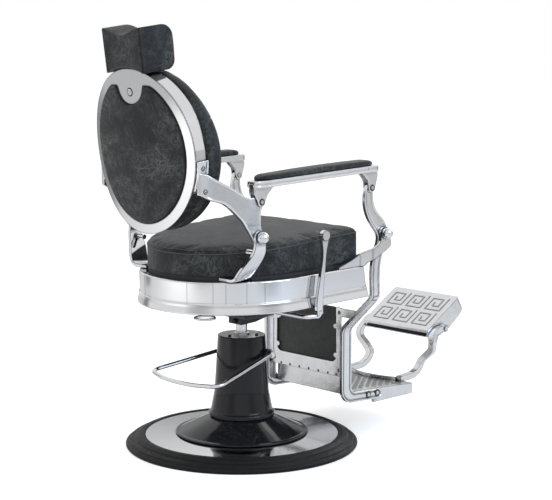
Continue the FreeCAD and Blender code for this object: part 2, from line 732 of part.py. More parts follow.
def seat_cushion():
    half = APRON_HALF_WIDTH - CUSHION_INSET
    bottom = APRON_TOP_Z + BOARD_THICKNESS + SEAT_GAP
    block = horseshoe(half, CUSHION_FRONT_Y, bottom, CUSHION_TOP_Z + 40)
    crown = Part.makeSphere(CUSHION_CROWN_RADIUS,
                            vec(0, CUSHION_HIGH_Y, CUSHION_TOP_Z - CUSHION_CROWN_RADIUS))
    block = block.common(crown)
    block = softened(block, CUSHION_CORNER_RADIUS,
                     lambda edge, m: m.y < CUSHION_FRONT_Y + 1 and abs(m.x) > half - 1
                     and edge.BoundBox.ZLength > 50)
    block = softened(block, CUSHION_EDGE_RADIUS, lambda edge, m: m.z > bottom + 40
                     and edge.BoundBox.ZLength < 50)
    block = softened(block, 9, lambda edge, m: m.z < bottom + 1)
    return tilted(block)


def stop_pegs():
    """Pegs inside the rear brackets, where the back's arms come to rest."""
    y, z = STOP_PEG
    end = BACK_PIVOT_X - STOP_PEG_LENGTH
    start = BACK_PIVOT_X + LEVER_THICKNESS
    peg = softened(rod_x(STOP_PEG_RADIUS, y, z, end, start), 1.5, lambda edge, m: m.x < end + 0.1)
    peg = peg.cut(rear_bracket())
    return pair(min(peg.Solids, key=lambda solid: solid.BoundBox.XMin))


def lever_pivots():
    """Planes and places of the pivots that the brackets carry: (x, y, z)."""
    return [(BACK_PIVOT_X,) + BACK_PIVOT, (ARM_X,) + LEVER_PIVOT]


def pivot_pins():
    """Pins of the back and of the front levers, pressed into the brackets."""
    pins = []
    for x, y, z in lever_pivots():
        inner = x - LEVER_THICKNESS / 2 - 3
        outer = x + LEVER_THICKNESS / 2 + MOVING_GAP + BRACKET_THICKNESS
        pin = rod_x(PIVOT_PIN_RADIUS, y, z, inner, outer)
        washer = rod_x(PIVOT_PIN_RADIUS + 4, y, z, inner - 2, inner + 3 - MOVING_GAP)
        pins += [pin.fuse(washer), mirrored(pin.fuse(washer))]
    return Part.makeCompound(pins)


def ball_nuts():
    """Domed nuts on the outer ends of the pivot pins."""
    nuts = []
    for x, y, z in lever_pivots():
        start = x + LEVER_THICKNESS / 2 + MOVING_GAP + BRACKET_THICKNESS
        collar = rod_x(BALL_RADIUS - 5, y, z, start, start + 6)
        ball = Part.makeSphere(BALL_RADIUS, vec(start + BALL_STAND, y, z))
        ball = ball.cut(rod_x(40, y, z, start - 20, start + 1.5))
        nut = collar.fuse(ball)
        nuts += [nut, mirrored(nut)]
    return Part.makeCompound(nuts)


# Back

def leaned(shape):
    """Carries a piece of the back from its upright frame to its place."""
    shape = shape.copy()
    shape.Placement = FreeCAD.Placement(vec(0, BACK_CENTRE_Y, BACK_CENTRE_Z),
                                        FreeCAD.Rotation(X_AXIS, -BACK_LEAN))
    return shape


def wrap_slab(near, far):
    """Slab between two depths in front of the ring's curved rear face."""
    bend = BACK_HALF_WIDTH ** 2 / (2 * BACK_WRAP)
    top = BACK_HALF_HEIGHT + 30
    outer = Part.makeCylinder(bend - near, 2 * top, vec(0, -bend, -top))
    inner = Part.makeCylinder(bend - far, 2 * top, vec(0, -bend, -top))
    keep = box(-260, 260, -260, 60, -top, top)
    return outer.cut(inner).common(keep)


def oval(half_width, half_height, lift=0.0):
    """Upright oval prism along the depth."""
    wide = half_width >= half_height
    if wide:
        curve = Part.Ellipse(ORIGIN, half_width, half_height)
    else:
        curve = Part.Ellipse(ORIGIN, half_height, half_width)
    edge = curve.toShape()
    if not wide:
        edge.rotate(ORIGIN, Z_AXIS, 90)
    face = Part.Face(Part.Wire(edge))
    face.rotate(ORIGIN, X_AXIS, 90)
    return face.translated(vec(0, 60, lift)).extrude(vec(0, -330, 0))


def opening(inset):
    """The ring's inner opening: an oval with a tongue from its top."""
    hole = oval(OPENING_HALF_WIDTH - inset, OPENING_HALF_HEIGHT - inset, 3)
    hole = hole.cut(box(-260, 260, -300, 80, OPENING_TOP - inset, 300))
    tongue = Part.makeCylinder(TONGUE_RADIUS + inset, 400, vec(0, 80, TONGUE_CENTRE), vec(0, -1, 0))
    hole = hole.cut(tongue)
    hole = softened(hole, LOBE_RADIUS, lambda edge, m: edge.BoundBox.YLength > 300
                    and m.z > TONGUE_CENTRE - 30)
    return hole


def back_ring():
    plate = wrap_slab(0, RING_PLATE).common(oval(BACK_HALF_WIDTH, BACK_HALF_HEIGHT))
    button = Part.makeCylinder(BUTTON_RADIUS + 0.4, 200, vec(0, 100, BUTTON_Z), vec(0, -1, 0))
    return leaned(plate.cut(opening(0)).cut(button))


def band_strip(outer, inner, near, far):
    """Curved strip between two ovals."""
    solid = wrap_slab(near, far).common(oval(BACK_HALF_WIDTH + outer, BACK_HALF_HEIGHT + outer))
    return solid.cut(oval(BACK_HALF_WIDTH + inner, BACK_HALF_HEIGHT + inner))


def back_band():
    strip = band_strip(0, -BAND_WALL, RING_PLATE, BAND_DEPTH)
    strip = strip.cut(box(-300, 300, -200, 100, -300, BAND_END))
    slot_w = POST_WIDTH / 2 + 1
    slot_d = POST_DEPTH / 2 + 1
    slot = box(-slot_w, slot_w, POST_Y - slot_d, POST_Y + slot_d, 200, 300)
    return leaned(strip.cut(slot))


def back_core():
    """Upholstered board between the rear panel and the front cushion."""
    inset = BAND_WALL + SEAT_GAP
    core = wrap_slab(RING_PLATE, BAND_DEPTH).common(
        oval(BACK_HALF_WIDTH - inset, BACK_HALF_HEIGHT - inset))
    wall = SOCKET_WALL
    half_w = POST_WIDTH / 2 + wall
    half_d = POST_DEPTH / 2 + wall
    socket = box(-half_w, half_w, POST_Y - half_d, POST_Y + half_d, 30, 300)
    button = Part.makeCylinder(BUTTON_RADIUS + 0.4, 24, vec(0, 0, BUTTON_Z), vec(0, -1, 0))
    return leaned(core.cut(socket).cut(button))


def back_panel():
    """Padded leather panel that fills the ring's opening."""
    pad = wrap_slab(-PANEL_CROWN, RING_PLATE).common(opening(1.2))
    pad = softened(pad, 5, lambda edge, m: edge.BoundBox.YLength < 60 and m.y > on_wrap(m.x) + 3)
    return leaned(pad)


def on_wrap(x):
    """Depth of the ring's rear face at a distance from the middle."""
    bend = BACK_HALF_WIDTH ** 2 / (2 * BACK_WRAP)
    return math.sqrt(bend ** 2 - x ** 2) - bend


def back_cushion():
    """Round front cushion, fullest at its edge, crowned in front."""
    near = BAND_DEPTH + SEAT_GAP
    block = wrap_slab(near, BACK_CUSHION_FRONT).common(
        oval(BACK_CUSHION_HALF_WIDTH, BACK_CUSHION_HALF_HEIGHT, BACK_CUSHION_LIFT))
    block = softened(block, 30, lambda edge, m: m.y < on_wrap(m.x) - BACK_CUSHION_FRONT + 3
                     and edge.Length > 200)
    block = softened(block, 14, lambda edge, m: m.y > on_wrap(m.x) - near - 3
                     and edge.Length > 200)
    return leaned(block)


def casting_plate():
    """The side arm's plate: it flares out to the armrest and bends in to the back's band."""
    foot_x = BACK_HALF_WIDTH + 2
    sections = []
    for x, z in ((ARM_X, 900), (ARM_X, 752), (BACK_PIVOT_X, 700), (BACK_PIVOT_X, 600)):
        plan = [(x, 120, 0), (x, 234, 50), (foot_x + 1, 312, 50), (foot_x - 6, 370, 0)]
        sections.append(outline(bar_outline(plan, LEVER_THICKNESS / 2), "xy", z).OuterWire)
    return Part.makeLoft(sections, True, True)


def side_casting():
    """Aluminium side arm: pivots below, carries the armrest, holds the back, left side."""
    py, pz = BACK_PIVOT
    ay, az = ARM_REAR_PIVOT
    side = prism([(ay - 13, az), (ay - 5, az - 24, 20), (py - 12, pz + 26, 40), (py - 19, pz),
                  (py + 17, pz - 8), (py + 34, pz + 18, 30), (py + 59, pz + 48, 60),
                  (py + 83, pz + 76, 60), (py + 102, pz + 98, 30), (py + 132, pz + 108, 40),
                  (py + 166, pz + 124), (py + 166, pz + 184), (py + 138, pz + 178, 20),
                  (py + 89, pz + 144, 60), (py + 57, pz + 115, 40), (ay, az + 13)], "yz", 150, 380)
    eyes = rod_x(BRACKET_EYE_RADIUS, py, pz, 150, 380).fuse(rod_x(LUG_RADIUS, ay, az, 150, 380))
    arm = side.fuse(eyes).common(casting_plate())
    foot = band_strip(7.5, 0, 4, BAND_DEPTH - 4).common(box(100, 260, -80, 20, -104, -22))
    round_back = oval(BACK_HALF_WIDTH, BACK_HALF_HEIGHT)
    keep_out = leaned(wrap_slab(-20, BACK_CUSHION_FRONT + 10).common(round_back))
    cushion_space = leaned(wrap_slab(BAND_DEPTH - 1, BACK_CUSHION_FRONT + 10).common(
        oval(BACK_CUSHION_HALF_WIDTH + 1, BACK_CUSHION_HALF_HEIGHT + 1, BACK_CUSHION_LIFT)))
    casting = arm.fuse(leaned(foot)).cut(keep_out).cut(cushion_space)
    casting = max(casting.Solids, key=lambda solid: solid.Volume)
    casting = casting.cut(rod_x(PIVOT_PIN_RADIUS + RUNNING_FIT, py, pz, 100, 400))
    casting = casting.cut(rod_x(ARM_PIN_RADIUS + RUNNING_FIT, ay, az, 100, 400))
    return casting.removeSplitter()


def headrest_socket():
    wall = SOCKET_WALL
    half_w = POST_WIDTH / 2
    half_d = POST_DEPTH / 2
    top = HEADREST_BOTTOM - 6
    outer = box(-half_w - wall, half_w + wall, POST_Y - half_d - wall, POST_Y + half_d + wall, 30, top)
    fit = 0.3
    inner = box(-half_w - fit, half_w + fit, POST_Y - half_d - fit, POST_Y + half_d + fit, 34, 300)
    return leaned(outer.cut(inner))


def headrest_button():
    rear = 2.5
    head = Part.makeCylinder(BUTTON_RADIUS, rear + 16, vec(0, rear, BUTTON_Z), vec(0, -1, 0))
    return leaned(softened(head, 2, lambda edge, m: m.y > rear - 0.1))


def headrest_post():
    half_w = POST_WIDTH / 2
    half_d = POST_DEPTH / 2
    return leaned(box(-half_w, half_w, POST_Y - half_d, POST_Y + half_d, 60, HEADREST_BOTTOM + 60))


def headrest_pad():
    """Saddle block: D-shaped ends, waisted above and below."""
    rear = HEADREST_REAR
    front = HEADREST_FRONT
    bottom = HEADREST_BOTTOM
    top = HEADREST_TOP
    half = HEADREST_HALF_WIDTH
    block = prism([(rear, top, 7), (-50, top + 3, 60), (front + 4, top - 8, 34), (front, bottom + 54, 60),
                   (front + 6, bottom + 2, 26), (rear - 6, bottom, 7)], "yz", -half, half)
    sag = HEADREST_WAIST
    radius = (half ** 2 + sag ** 2) / (2 * sag)
    above = Part.makeCylinder(radius, 300, vec(0, 100, top + radius - sag), vec(0, -1, 0))
    below = Part.makeCylinder(radius, 300, vec(0, 100, bottom - radius + sag), vec(0, -1, 0))
    block = block.cut(above).cut(below)
    post = box(-POST_WIDTH / 2, POST_WIDTH / 2, POST_Y - POST_DEPTH / 2, POST_Y + POST_DEPTH / 2,
               0, bottom + 60)
    return leaned(block.cut(post))


# Armrests

def arm_line(y):
    """Height of the armrest's top face."""
    share = (y - ARM_REAR[0]) / (ARM_FRONT[0] - ARM_REAR[0])
    return ARM_REAR[1] + share * (ARM_FRONT[1] - ARM_REAR[1])


def arm_plan(half, rear, front, radius):
    """Plan of an armrest with rounded ends, as an upright prism."""
    return prism([(ARM_X - half, rear, radius), (ARM_X + half, rear, radius),
                  (ARM_X + half, front, radius), (ARM_X - half, front, radius)], "xy", 600, 950)


def arm_frame():
    """Open channel with a forked lug at each end, left side."""
    half = ARM_CHANNEL_WIDTH / 2
    depth = ARM_CHANNEL_DEPTH
    rear, front = ARM_REAR[0], ARM_FRONT[0]
    block = prism([(rear, arm_line(rear), 6), (rear + 3, arm_line(rear) - depth + 3, 4),
                   (rear - 40, arm_line(rear - 40) - depth), (front + 40, arm_line(front) - depth - 1),
                   (front - 4, arm_line(front) - depth, 5), (front - 2, arm_line(front), 10)],
                  "yz", ARM_X - half, ARM_X + half)
    block = block.common(arm_plan(half, rear + 4, front - 5, ARM_END_RADIUS))
    inner = half - ARM_CHANNEL_WALL
    hollow = prism([(rear - 50, arm_line(rear - 50) - ARM_CHANNEL_WALL, 4),
                    (rear - 50, arm_line(rear - 50) - depth - 5),
                    (front + 50, arm_line(front + 50) - depth - 5),
                    (front + 50, arm_line(front + 50) - ARM_CHANNEL_WALL, 4)],
                   "yz", ARM_X - inner, ARM_X + inner)
    frame = block.cut(hollow)
    reach = LEVER_THICKNESS / 2 + 1.5
    py, pz = ARM_REAR_PIVOT
    qy, qz = ARM_FRONT_PIVOT
    rear_lug = [(py + 27, arm_line(py) - 10), (py + 27, pz + 24, 8), (py + 13, pz), (py - 13, pz),
                (py - 22, pz + 18, 26), (py - 46, arm_line(py) - depth + 2, 30),
                 (py - 70, arm_line(py) - 12)]
    front_lug = [(qy - 20, arm_line(qy) - 10), (qy - 24, qz + 34, 10), (qy - 13, qz), (qy + 13, qz),
                 (qy + 17, qz + 22, 20), (qy + 46, arm_line(qy) - depth + 2, 26),
                  (qy + 70, arm_line(qy) - 12)]
    for points, (y, z) in ((rear_lug, ARM_REAR_PIVOT), (front_lug, ARM_FRONT_PIVOT)):
        for start in (ARM_X + reach, ARM_X - reach - LUG_THICKNESS):
            lug = prism(points, "yz", start, start + LUG_THICKNESS)
            frame = frame.fuse(lug).fuse(rod_x(LUG_RADIUS, y, z, start, start + LUG_THICKNESS))
    for y, z in (ARM_REAR_PIVOT, ARM_FRONT_PIVOT):
        frame = frame.cut(rod_x(ARM_PIN_RADIUS, y, z, ARM_X - half, ARM_X + half))
        swing = rod_x(LUG_RADIUS + 8, y, z, ARM_X - reach, ARM_X + reach)
        frame = frame.cut(swing)
    gap = box(ARM_X - reach, ARM_X + reach, py - 20, rear + 10, pz, arm_line(py) - 9)
    return frame.cut(gap).removeSplitter()


def pad_section(y, base, half, height):
    """Cross-section of an arm pad: flat below, drawn-in sides, crowned top."""
    left, right = vec(ARM_X - half, y, base), vec(ARM_X + half, y, base)
    shoulder = half * 0.84
    high_left = vec(ARM_X - shoulder, y, base + height * 0.84)
    high_right = vec(ARM_X + shoulder, y, base + height * 0.84)
    side = height * 0.52
    edges = [Part.LineSegment(left, right).toShape(),
             Part.Arc(right, vec(ARM_X + half * 0.99, y, base + side), high_right).toShape(),
             Part.Arc(high_right, vec(ARM_X, y, base + height), high_left).toShape(),
             Part.Arc(high_left, vec(ARM_X - half * 0.99, y, base + side), left).toShape()]
    return Part.Wire(edges)


def arm_pad():
    """Padded top of the armrest, thicker towards the front, left side."""
    rear, front = ARM_REAR[0] - PAD_REAR_INSET, ARM_FRONT[0] + PAD_FRONT_INSET
    sections = []
    for along, width, height in PAD_STATIONS:
        y = rear + along * (front - rear)
        sections.append(pad_section(y, arm_line(y) + SEAT_GAP, width * PAD_WIDTH / 2, height * PAD_HEIGHT))
    return Part.makeLoft(sections, True, False)


def arm_pins():
    """Pins through both forks of an armrest, left side."""
    reach = LEVER_THICKNESS / 2 + 1.5 + LUG_THICKNESS
    pins = []
    for y, z in (ARM_REAR_PIVOT, ARM_FRONT_PIVOT):
        pin = rod_x(ARM_PIN_RADIUS, y, z, ARM_X - reach, ARM_X + reach)
        head = rod_x(ARM_PIN_RADIUS + 2, y, z, ARM_X + reach, ARM_X + reach + 1.5)
        tail = rod_x(ARM_PIN_RADIUS + 2, y, z, ARM_X - reach - 1.5, ARM_X - reach)
        pins.append(pin.fuse(head).fuse(tail))
    return Part.makeCompound(pins)


# Hanging levers and footrest

def hanger_lever():
    """One casting: post to the armrest, pivot, ribbed leg and forward foot, left side."""
    py, pz = LEVER_PIVOT
    ay, az = ARM_FRONT_PIVOT
    half = LEVER_THICKNESS / 2
    leg = LEG_WIDTH / 2
    leg_y = py + LEG_SET_BACK
    low_leg = LEG_LOWER_WIDTH / 2
    post = ribbon([(ay, az + 4), (ay + 6, az - 40), (ay - 8, az - 78), (py + 12, pz + 22), (py, pz - 8),
                   (py + 12, pz - 50), (leg_y, pz - 90), (leg_y + 2, pz - 150), (leg_y, pz - 196)],
                  [13, 18, 20, 23, 20, 17, leg, leg, leg], "yz", 100, 340)
    ends = rod_x(LUG_RADIUS, ay, az, 100, 340).fuse(rod_x(BRACKET_EYE_RADIUS, py, pz, 100, 340))
    rear, front = LEG_LOWER_Y + low_leg, LEG_LOWER_Y - low_leg
    high, low = FOOT_Z + FOOT_HALF_HEIGHT, FOOT_Z - FOOT_HALF_HEIGHT + 2
    shank = prism([(rear, LEG_JOG_BOTTOM_Z - 20), (rear, low + FOOT_FALL, 46), (FOOT_END_Y + 14, low, 13),
                   (FOOT_END_Y, FOOT_Z, 13), (FOOT_END_Y + 14, high, 13), (front, high + FOOT_FALL, 22),
                   (front, LEG_JOG_BOTTOM_Z - 20), (leg_y - leg, LEG_JOG_TOP_Z - 4),
                   (leg_y + leg, LEG_JOG_TOP_Z - 4)], "yz", 100, 340)
    side = post.fuse(ends).fuse(shank)
    bend = bent_bar([(ARM_X, az + 40, 0), (ARM_X, LEG_JOG_TOP_Z, LEG_BEND),
                     (LEG_LOWER_X, LEG_JOG_BOTTOM_Z, LEG_BEND), (LEG_LOWER_X, 60, 0)],
                    half, "xz", -500, -100)
    lever = side.common(bend)
    lever = lever.cut(rod_x(PIVOT_PIN_RADIUS + RUNNING_FIT, py, pz, 100, 400))
    lever = lever.cut(rod_x(ARM_PIN_RADIUS + OPEN_PIVOT_CLEARANCE, ay, az, 100, 400))
    return lever.removeSplitter()


def step_top(y):
    """Height of the step's top, which falls a little towards its front."""
    return STEP_TOP_Z + (y - STEP_REAR_Y) * STEP_FALL


def step_bite(extra, start, end):
    """The hollow in the step's front edge."""
    half = STEP_HALF_WIDTH - STEP_CORNER
    radius = (half ** 2 + STEP_HOLLOW ** 2) / (2 * STEP_HOLLOW)
    centre = STEP_FRONT_Y + STEP_HOLLOW - radius
    return Part.makeCylinder(radius + extra, end - start, vec(0, centre, start))


def step_under():
    """Everything below the step's top."""
    top = [(-200, step_top(-200)), (-900, step_top(-900)), (-900, 0), (-200, 0)]
    return prism(top, "yz", -300, 300)


def lower_step():
    """Cast step between the legs: thin deck, deep side rails, lipped hollow front."""
    half = STEP_HALF_WIDTH
    low = step_top(STEP_FRONT_Y) - STEP_HEIGHT
    plan = [(-half, STEP_REAR_Y), (-half, STEP_FRONT_Y, 5), (half, STEP_FRONT_Y, 5), (half, STEP_REAR_Y)]
    blank = prism(plan, "xy", low, STEP_TOP_Z + 20)
    step = blank.common(step_under()).cut(step_bite(0, 0, 300))
    wall = STEP_RAIL
    under = box(-half + wall, half - wall, STEP_FRONT_Y + wall, STEP_REAR_Y + 50, 0, 300)
    under = under.cut(step_bite(wall, 0, 300))
    rear_cut = box(-half, half, STEP_RAIL_Y, STEP_REAR_Y + 50, 0, 300)
    lowered = step_under().translated(vec(0, 0, -STEP_WALL))
    step = step.cut(under.fuse(rear_cut).common(lowered))
    lip = step_bite(STEP_LIP_WIDTH, 0, 300).cut(step_bite(0, 0, 300))
    lip_end = PLATE_ARM_FOOT_X - PLATE_ARM_WIDTH / 2 - MOVING_GAP
    lip = lip.common(box(-lip_end, lip_end, STEP_FRONT_Y, STEP_FRONT_Y + 90, 0, 300))
    raised = step_under().translated(vec(0, 0, STEP_LIP)).cut(lowered)
    return step.fuse(lip.common(raised)).removeSplitter()


def calf_edge(z):
    """Half width of the calf frame, which narrows upwards."""
    share = (z - CALF_BOTTOM_Z) / (CALF_TOP_Z - CALF_BOTTOM_Z)
    return CALF_HALF_WIDTH + share * (CALF_TOP_HALF_WIDTH - CALF_HALF_WIDTH)


def lever_inner(z):
    """Inner side of the hanging lever's slanted stretch at a height."""
    slope = (ARM_X - LEG_LOWER_X) / (LEG_JOG_TOP_Z - LEG_JOG_BOTTOM_Z)
    side = LEVER_THICKNESS / 2 * math.hypot(1, slope)
    return LEG_LOWER_X + (z - LEG_JOG_BOTTOM_Z) * slope - side


def calf_frame():
    """Cast frame behind the calves: uprights, lugs, lower rail and riser."""
    member = CALF_MEMBER
    low = CALF_BOTTOM_Z
    top = CALF_TOP_Z
    sill = low + CALF_RAIL
    y0 = CALF_Y
    y1 = CALF_Y + CALF_FRAME_THICKNESS
    half = [(calf_edge(low), low, 8), (calf_edge(top), top, 6), (calf_edge(top) - member, top, 6),
            (calf_edge(sill) - member, sill, 22)]
    frame = prism(half + [(-a, z, r) for a, z, r in reversed(half)], "xz", y0, y1)
    for z in (sill + 22, top - 62):
        centre = calf_edge(z) - member - 4
        ear = Part.makeCylinder(8, CALF_FRAME_THICKNESS, vec(centre, y0, z), Y_AXIS)
        frame = frame.fuse(ear).fuse(mirrored(ear))
    lug_top = CALF_LUG_Z + CALF_LUG_HEIGHT
    lug = prism([(calf_edge(top) - 4, CALF_LUG_Z), (lever_inner(CALF_LUG_Z) - LUG_SET_BACK, CALF_LUG_Z, 4),
                 (lever_inner(lug_top) - LUG_SET_BACK, lug_top), (calf_edge(top) - 4, lug_top)],
                "xz", y0, y1)
    inner = LEG_LOWER_X - LEVER_THICKNESS / 2
    tie = box(-inner, inner, y0, y1, low + 8, low + 26)
    shelf = box(-inner + 4, inner - 4, STEP_REAR_Y, y1, low, low + 6)
    riser = box(-inner + 4, inner - 4, STEP_REAR_Y, STEP_REAR_Y + 6, RISER_BOTTOM_Z, low + 6)
    frame = frame.fuse(lug).fuse(mirrored(lug)).fuse(tie).fuse(shelf).fuse(riser)
    return frame.removeSplitter()


def calf_panel():
    sill = CALF_BOTTOM_Z + 12
    low = calf_edge(sill) - 5
    high = calf_edge(CALF_TOP_Z) - 5
    y1 = CALF_Y
    return prism([(-low, sill, 6), (low, sill, 6), (high, CALF_TOP_Z - 4, 30), (-high, CALF_TOP_Z - 4, 30)],
                 "xz", y1 - CALF_PANEL_THICKNESS, y1)


def plate_arm():
    """Wavy bar from the step's front corner up and out to the plate's pivot, left side."""
    py, pz = PLATE_PIVOT
    deep = PLATE_ARM_DEPTH / 2
    low = step_top(STEP_FRONT_Y) + deep
    side = ribbon([(STEP_FRONT_Y + PLATE_ARM_FOOT, low - 2), (STEP_FRONT_Y - 30, low), (-662, 134),
                   (-686, 156), (-693, 182), (-692, 210), (-693, 236), (-712, 262), (py, pz)],
                  [deep - 2, deep, deep, deep, deep, deep, deep, deep, deep - 1], "yz", 60, 220)
    inner = PLATE_ARM_FOOT_X
    outer = PLATE_HALF_WIDTH + MOVING_GAP + PLATE_ARM_WIDTH / 2
    across = PLATE_ARM_WIDTH / 2
    knee = outer + PLATE_ARM_SWELL
    front = bent_bar([(inner, low - 30, 0), (inner, 168, 24), (knee, 212, 20), (knee, 240, 14),
                      (outer, 258, 14), (outer, pz + 30, 0)], across, "xz", -820, -540)
    bar = side.common(front)
    eye = rod_x(PLATE_ARM_DEPTH / 2 + 3, py, pz, outer - across, outer + across)
    bar = bar.fuse(eye).cut(rod_x(PLATE_PIN_RADIUS + RUNNING_FIT, py, pz, 0, 400))
    return bar.cut(step_under())


def plate_arms():
    arm = plate_arm()
    return pair(max(arm.Solids, key=lambda solid: solid.Volume))


def step_bolts():
    """Bolts that join the legs to the step."""
    x = LEG_LOWER_X + LEVER_THICKNESS / 2
    bolts = []
    for set_back in BOLT_SET_BACKS:
        head = rod_x(6.5, FOOT_END_Y + set_back, FOOT_Z + BOLT_LIFT, x, x + 3)
        bolts.append(softened(head, 1, lambda edge, m: m.x > x + 2.9))
        bolts.append(mirrored(bolts[-1]))
    return Part.makeCompound(bolts)


def on_plate(shape):
    """Carries a piece of the upper plate from its flat frame to its place."""
    shape = shape.copy()
    py, pz = PLATE_PIVOT
    shape.Placement = FreeCAD.Placement(vec(0, py, pz), FreeCAD.Rotation(X_AXIS, -PLATE_ANGLE))
    return shape


def plate_side():
    """Side of the plate, drawn flat with the pivot at the origin; y runs to the rear."""
    rear = PLATE_PIVOT_IN
    front = PLATE_PIVOT_IN - PLATE_LENGTH
    top = PLATE_PIVOT_DOWN
    lip = PLATE_PIVOT_DOWN - PLATE_REAR_LIP
    belly = PLATE_PIVOT_DOWN - PLATE_BELLY
    return [(rear, top, 4), (rear + 7, lip, 5), (rear - 38, belly + 8, 60), (rear - 82, belly, 90),
            (front + 24, belly + 5, 50), (front - 6, belly + 24, 12), (front, top, 4)]


def tread_plate():
    """Cast plate with deep bowed skirts and raised meanders, open below."""
    half = PLATE_HALF_WIDTH
    wall = PLATE_WALL
    side = outline(plate_side(), "yz", -half)
    body = side.extrude(X_AXIS * 2 * half)
    front, rear = PLATE_PIVOT_IN - PLATE_LENGTH, PLATE_PIVOT_IN + 20
    body = body.common(prism([(-half, front, PLATE_CORNER), (half, front, PLATE_CORNER),
                              (half, rear, 0), (-half, rear, 0)], "xy", -100, 100))
    hollow = side.makeOffset2D(-wall).translated(X_AXIS * wall).extrude(X_AXIS * 2 * (half - wall))
    hollow = hollow.common(prism([(-half + wall, front + wall, PLATE_CORNER - wall),
                                  (half - wall, front + wall, PLATE_CORNER - wall),
                                  (half - wall, rear, 0), (-half + wall, rear, 0)], "xy", -100, 100))
    below = hollow.translated(vec(0, 0, PLATE_REAR_LIP - PLATE_PIVOT_DOWN))
    body = body.cut(hollow).cut(below)
    boss = rod_x(PLATE_BOSS_RADIUS, 0, 0, half - 14, half).fuse(
        rod_x(PLATE_BOSS_RADIUS, 0, 0, -half, -half + 14))
    body = body.fuse(boss).cut(rod_x(PLATE_PIN_RADIUS, 0, 0, -200, 200))
    for ridge in meanders():
        body = body.fuse(ridge)
    return on_plate(body)


def meander(size):
    """Middle line of a square meander: a ridge that turns inwards."""
    turns = [(0, 0), (0, 1), (1, 1), (1, 0.12), (0.3, 0.12), (0.3, 0.7), (0.7, 0.7), (0.7, 0.4)]
    return [(a * size, b * size, 0) for a, b in turns]


def meanders():
    """Raised squares in rows and columns on the tread."""
    pitch_x = (2 * PLATE_HALF_WIDTH - 2 * MEANDER_MARGIN) / MEANDER_COLUMNS
    pitch_y = (PLATE_LENGTH - 2 * MEANDER_MARGIN) / MEANDER_ROWS
    size = min(pitch_x, pitch_y) - 5 * MEANDER_LINE
    ridges = []
    for column in range(MEANDER_COLUMNS):
        for row in range(MEANDER_ROWS):
            x = -PLATE_HALF_WIDTH + MEANDER_MARGIN + pitch_x * (column + 0.5) - size / 2
            y = PLATE_PIVOT_IN - MEANDER_MARGIN - pitch_y * (row + 0.5) - size / 2
            points = [(x + a, y + b, r) for a, b, r in meander(size)]
            ridges.append(bent_bar(points, MEANDER_LINE / 2, "xy", PLATE_PIVOT_DOWN - 1,
                                   PLATE_PIVOT_DOWN + MEANDER_HEIGHT))
    return ridges


def plate_pins():
    outer = PLATE_HALF_WIDTH + MOVING_GAP + PLATE_ARM_WIDTH
    pin = rod_x(PLATE_PIN_RADIUS, 0, 0, PLATE_HALF_WIDTH - 14, outer)
    head = rod_x(8.5, 0, 0, outer + MOVING_GAP / 2, outer + 4)
    neck = rod_x(PLATE_PIN_RADIUS, 0, 0, outer, outer + 1)
    return on_plate(pair(pin.fuse(neck).fuse(head)))


# Levers under the seat

def recline_lever():
    """Paddle lever at the sitter's right, on a cranked shaft under the seat."""
    y, z = RECLINE_PIVOT
    x = -RECLINE_X
    foot_y, foot_z = RECLINE_FOOT
    paddle = ribbon([(foot_y, foot_z), (foot_y + 2, foot_z + 25), (foot_y - 2, foot_z + 70),
                     (foot_y - 10, foot_z + 121), (foot_y - 17, foot_z + 181), (foot_y - 19, foot_z + 215),
                     (foot_y - 20, foot_z + 231)],
                    [11, 12, 10, 8, 7, 13, 15], "yz", x - 5, x + 5)
    knob = rod_x(15, foot_y - 20, foot_z + 227, x - 8, x + 8)
    crank = pipe([vec(x, foot_y, foot_z + 12), vec(x, foot_y, foot_z - 4), vec(x + 20, y, z),
                  vec(-FRAME_LEG_X - FRAME_LEG_THICKNESS / 2 - MOVING_GAP, y, z)],
                 [0, 9, 14, 0], RECLINE_SHAFT_RADIUS)
    return paddle.fuse(knob).fuse(crank)


def lever_bearing():
    """Bearing block that carries the lever's shaft, hung from the seat frame."""
    y, z = RECLINE_PIVOT
    half = RECLINE_SHAFT_RADIUS + 7
    fall = (y + half) * math.tan(math.radians(SEAT_TILT))
    top = APRON_TOP_Z - APRON_WALL - FRAME_BAR_HEIGHT - fall - SEAT_GAP
    x = -FRAME_LEG_X - FRAME_LEG_THICKNESS / 2
    block = box(x - 60, x - 30, y - half, y + half, z - half, top)
    bridge = box(x - 60, x, y - half, y + half, top - 8, top)
    hole = rod_x(RECLINE_SHAFT_RADIUS + RUNNING_FIT, y, z, x - 100, x)
    return block.fuse(bridge).cut(hole)


def swivel_lock():
    """Ring handle on a rod that reaches in under the seat."""
    cx, cy, cz = SWIVEL_RING_CENTRE
    ring = Part.makeTorus(SWIVEL_RING_RADIUS, SWIVEL_ROD_RADIUS, vec(cx, cy, cz))
    reach = math.hypot(cx, cy)
    ux, uy = cx / reach, cy / reach
    start = reach - SWIVEL_RING_RADIUS
    inner = LOCK_PIN_REACH
    base = vec(ux * inner, uy * inner, cz)
    rod = Part.makeCylinder(SWIVEL_ROD_RADIUS, start - inner, base, vec(ux, uy, 0))
    half = LOCK_EYE_HEIGHT / 2
    eye = Part.makeCylinder(LOCK_PIN_RADIUS + 4, 2 * half, base - Z_AXIS * half)
    bore = Part.makeCylinder(LOCK_PIN_RADIUS + RUNNING_FIT, 2 * half, base - Z_AXIS * half)
    return ring.fuse(rod).fuse(eye).cut(bore)


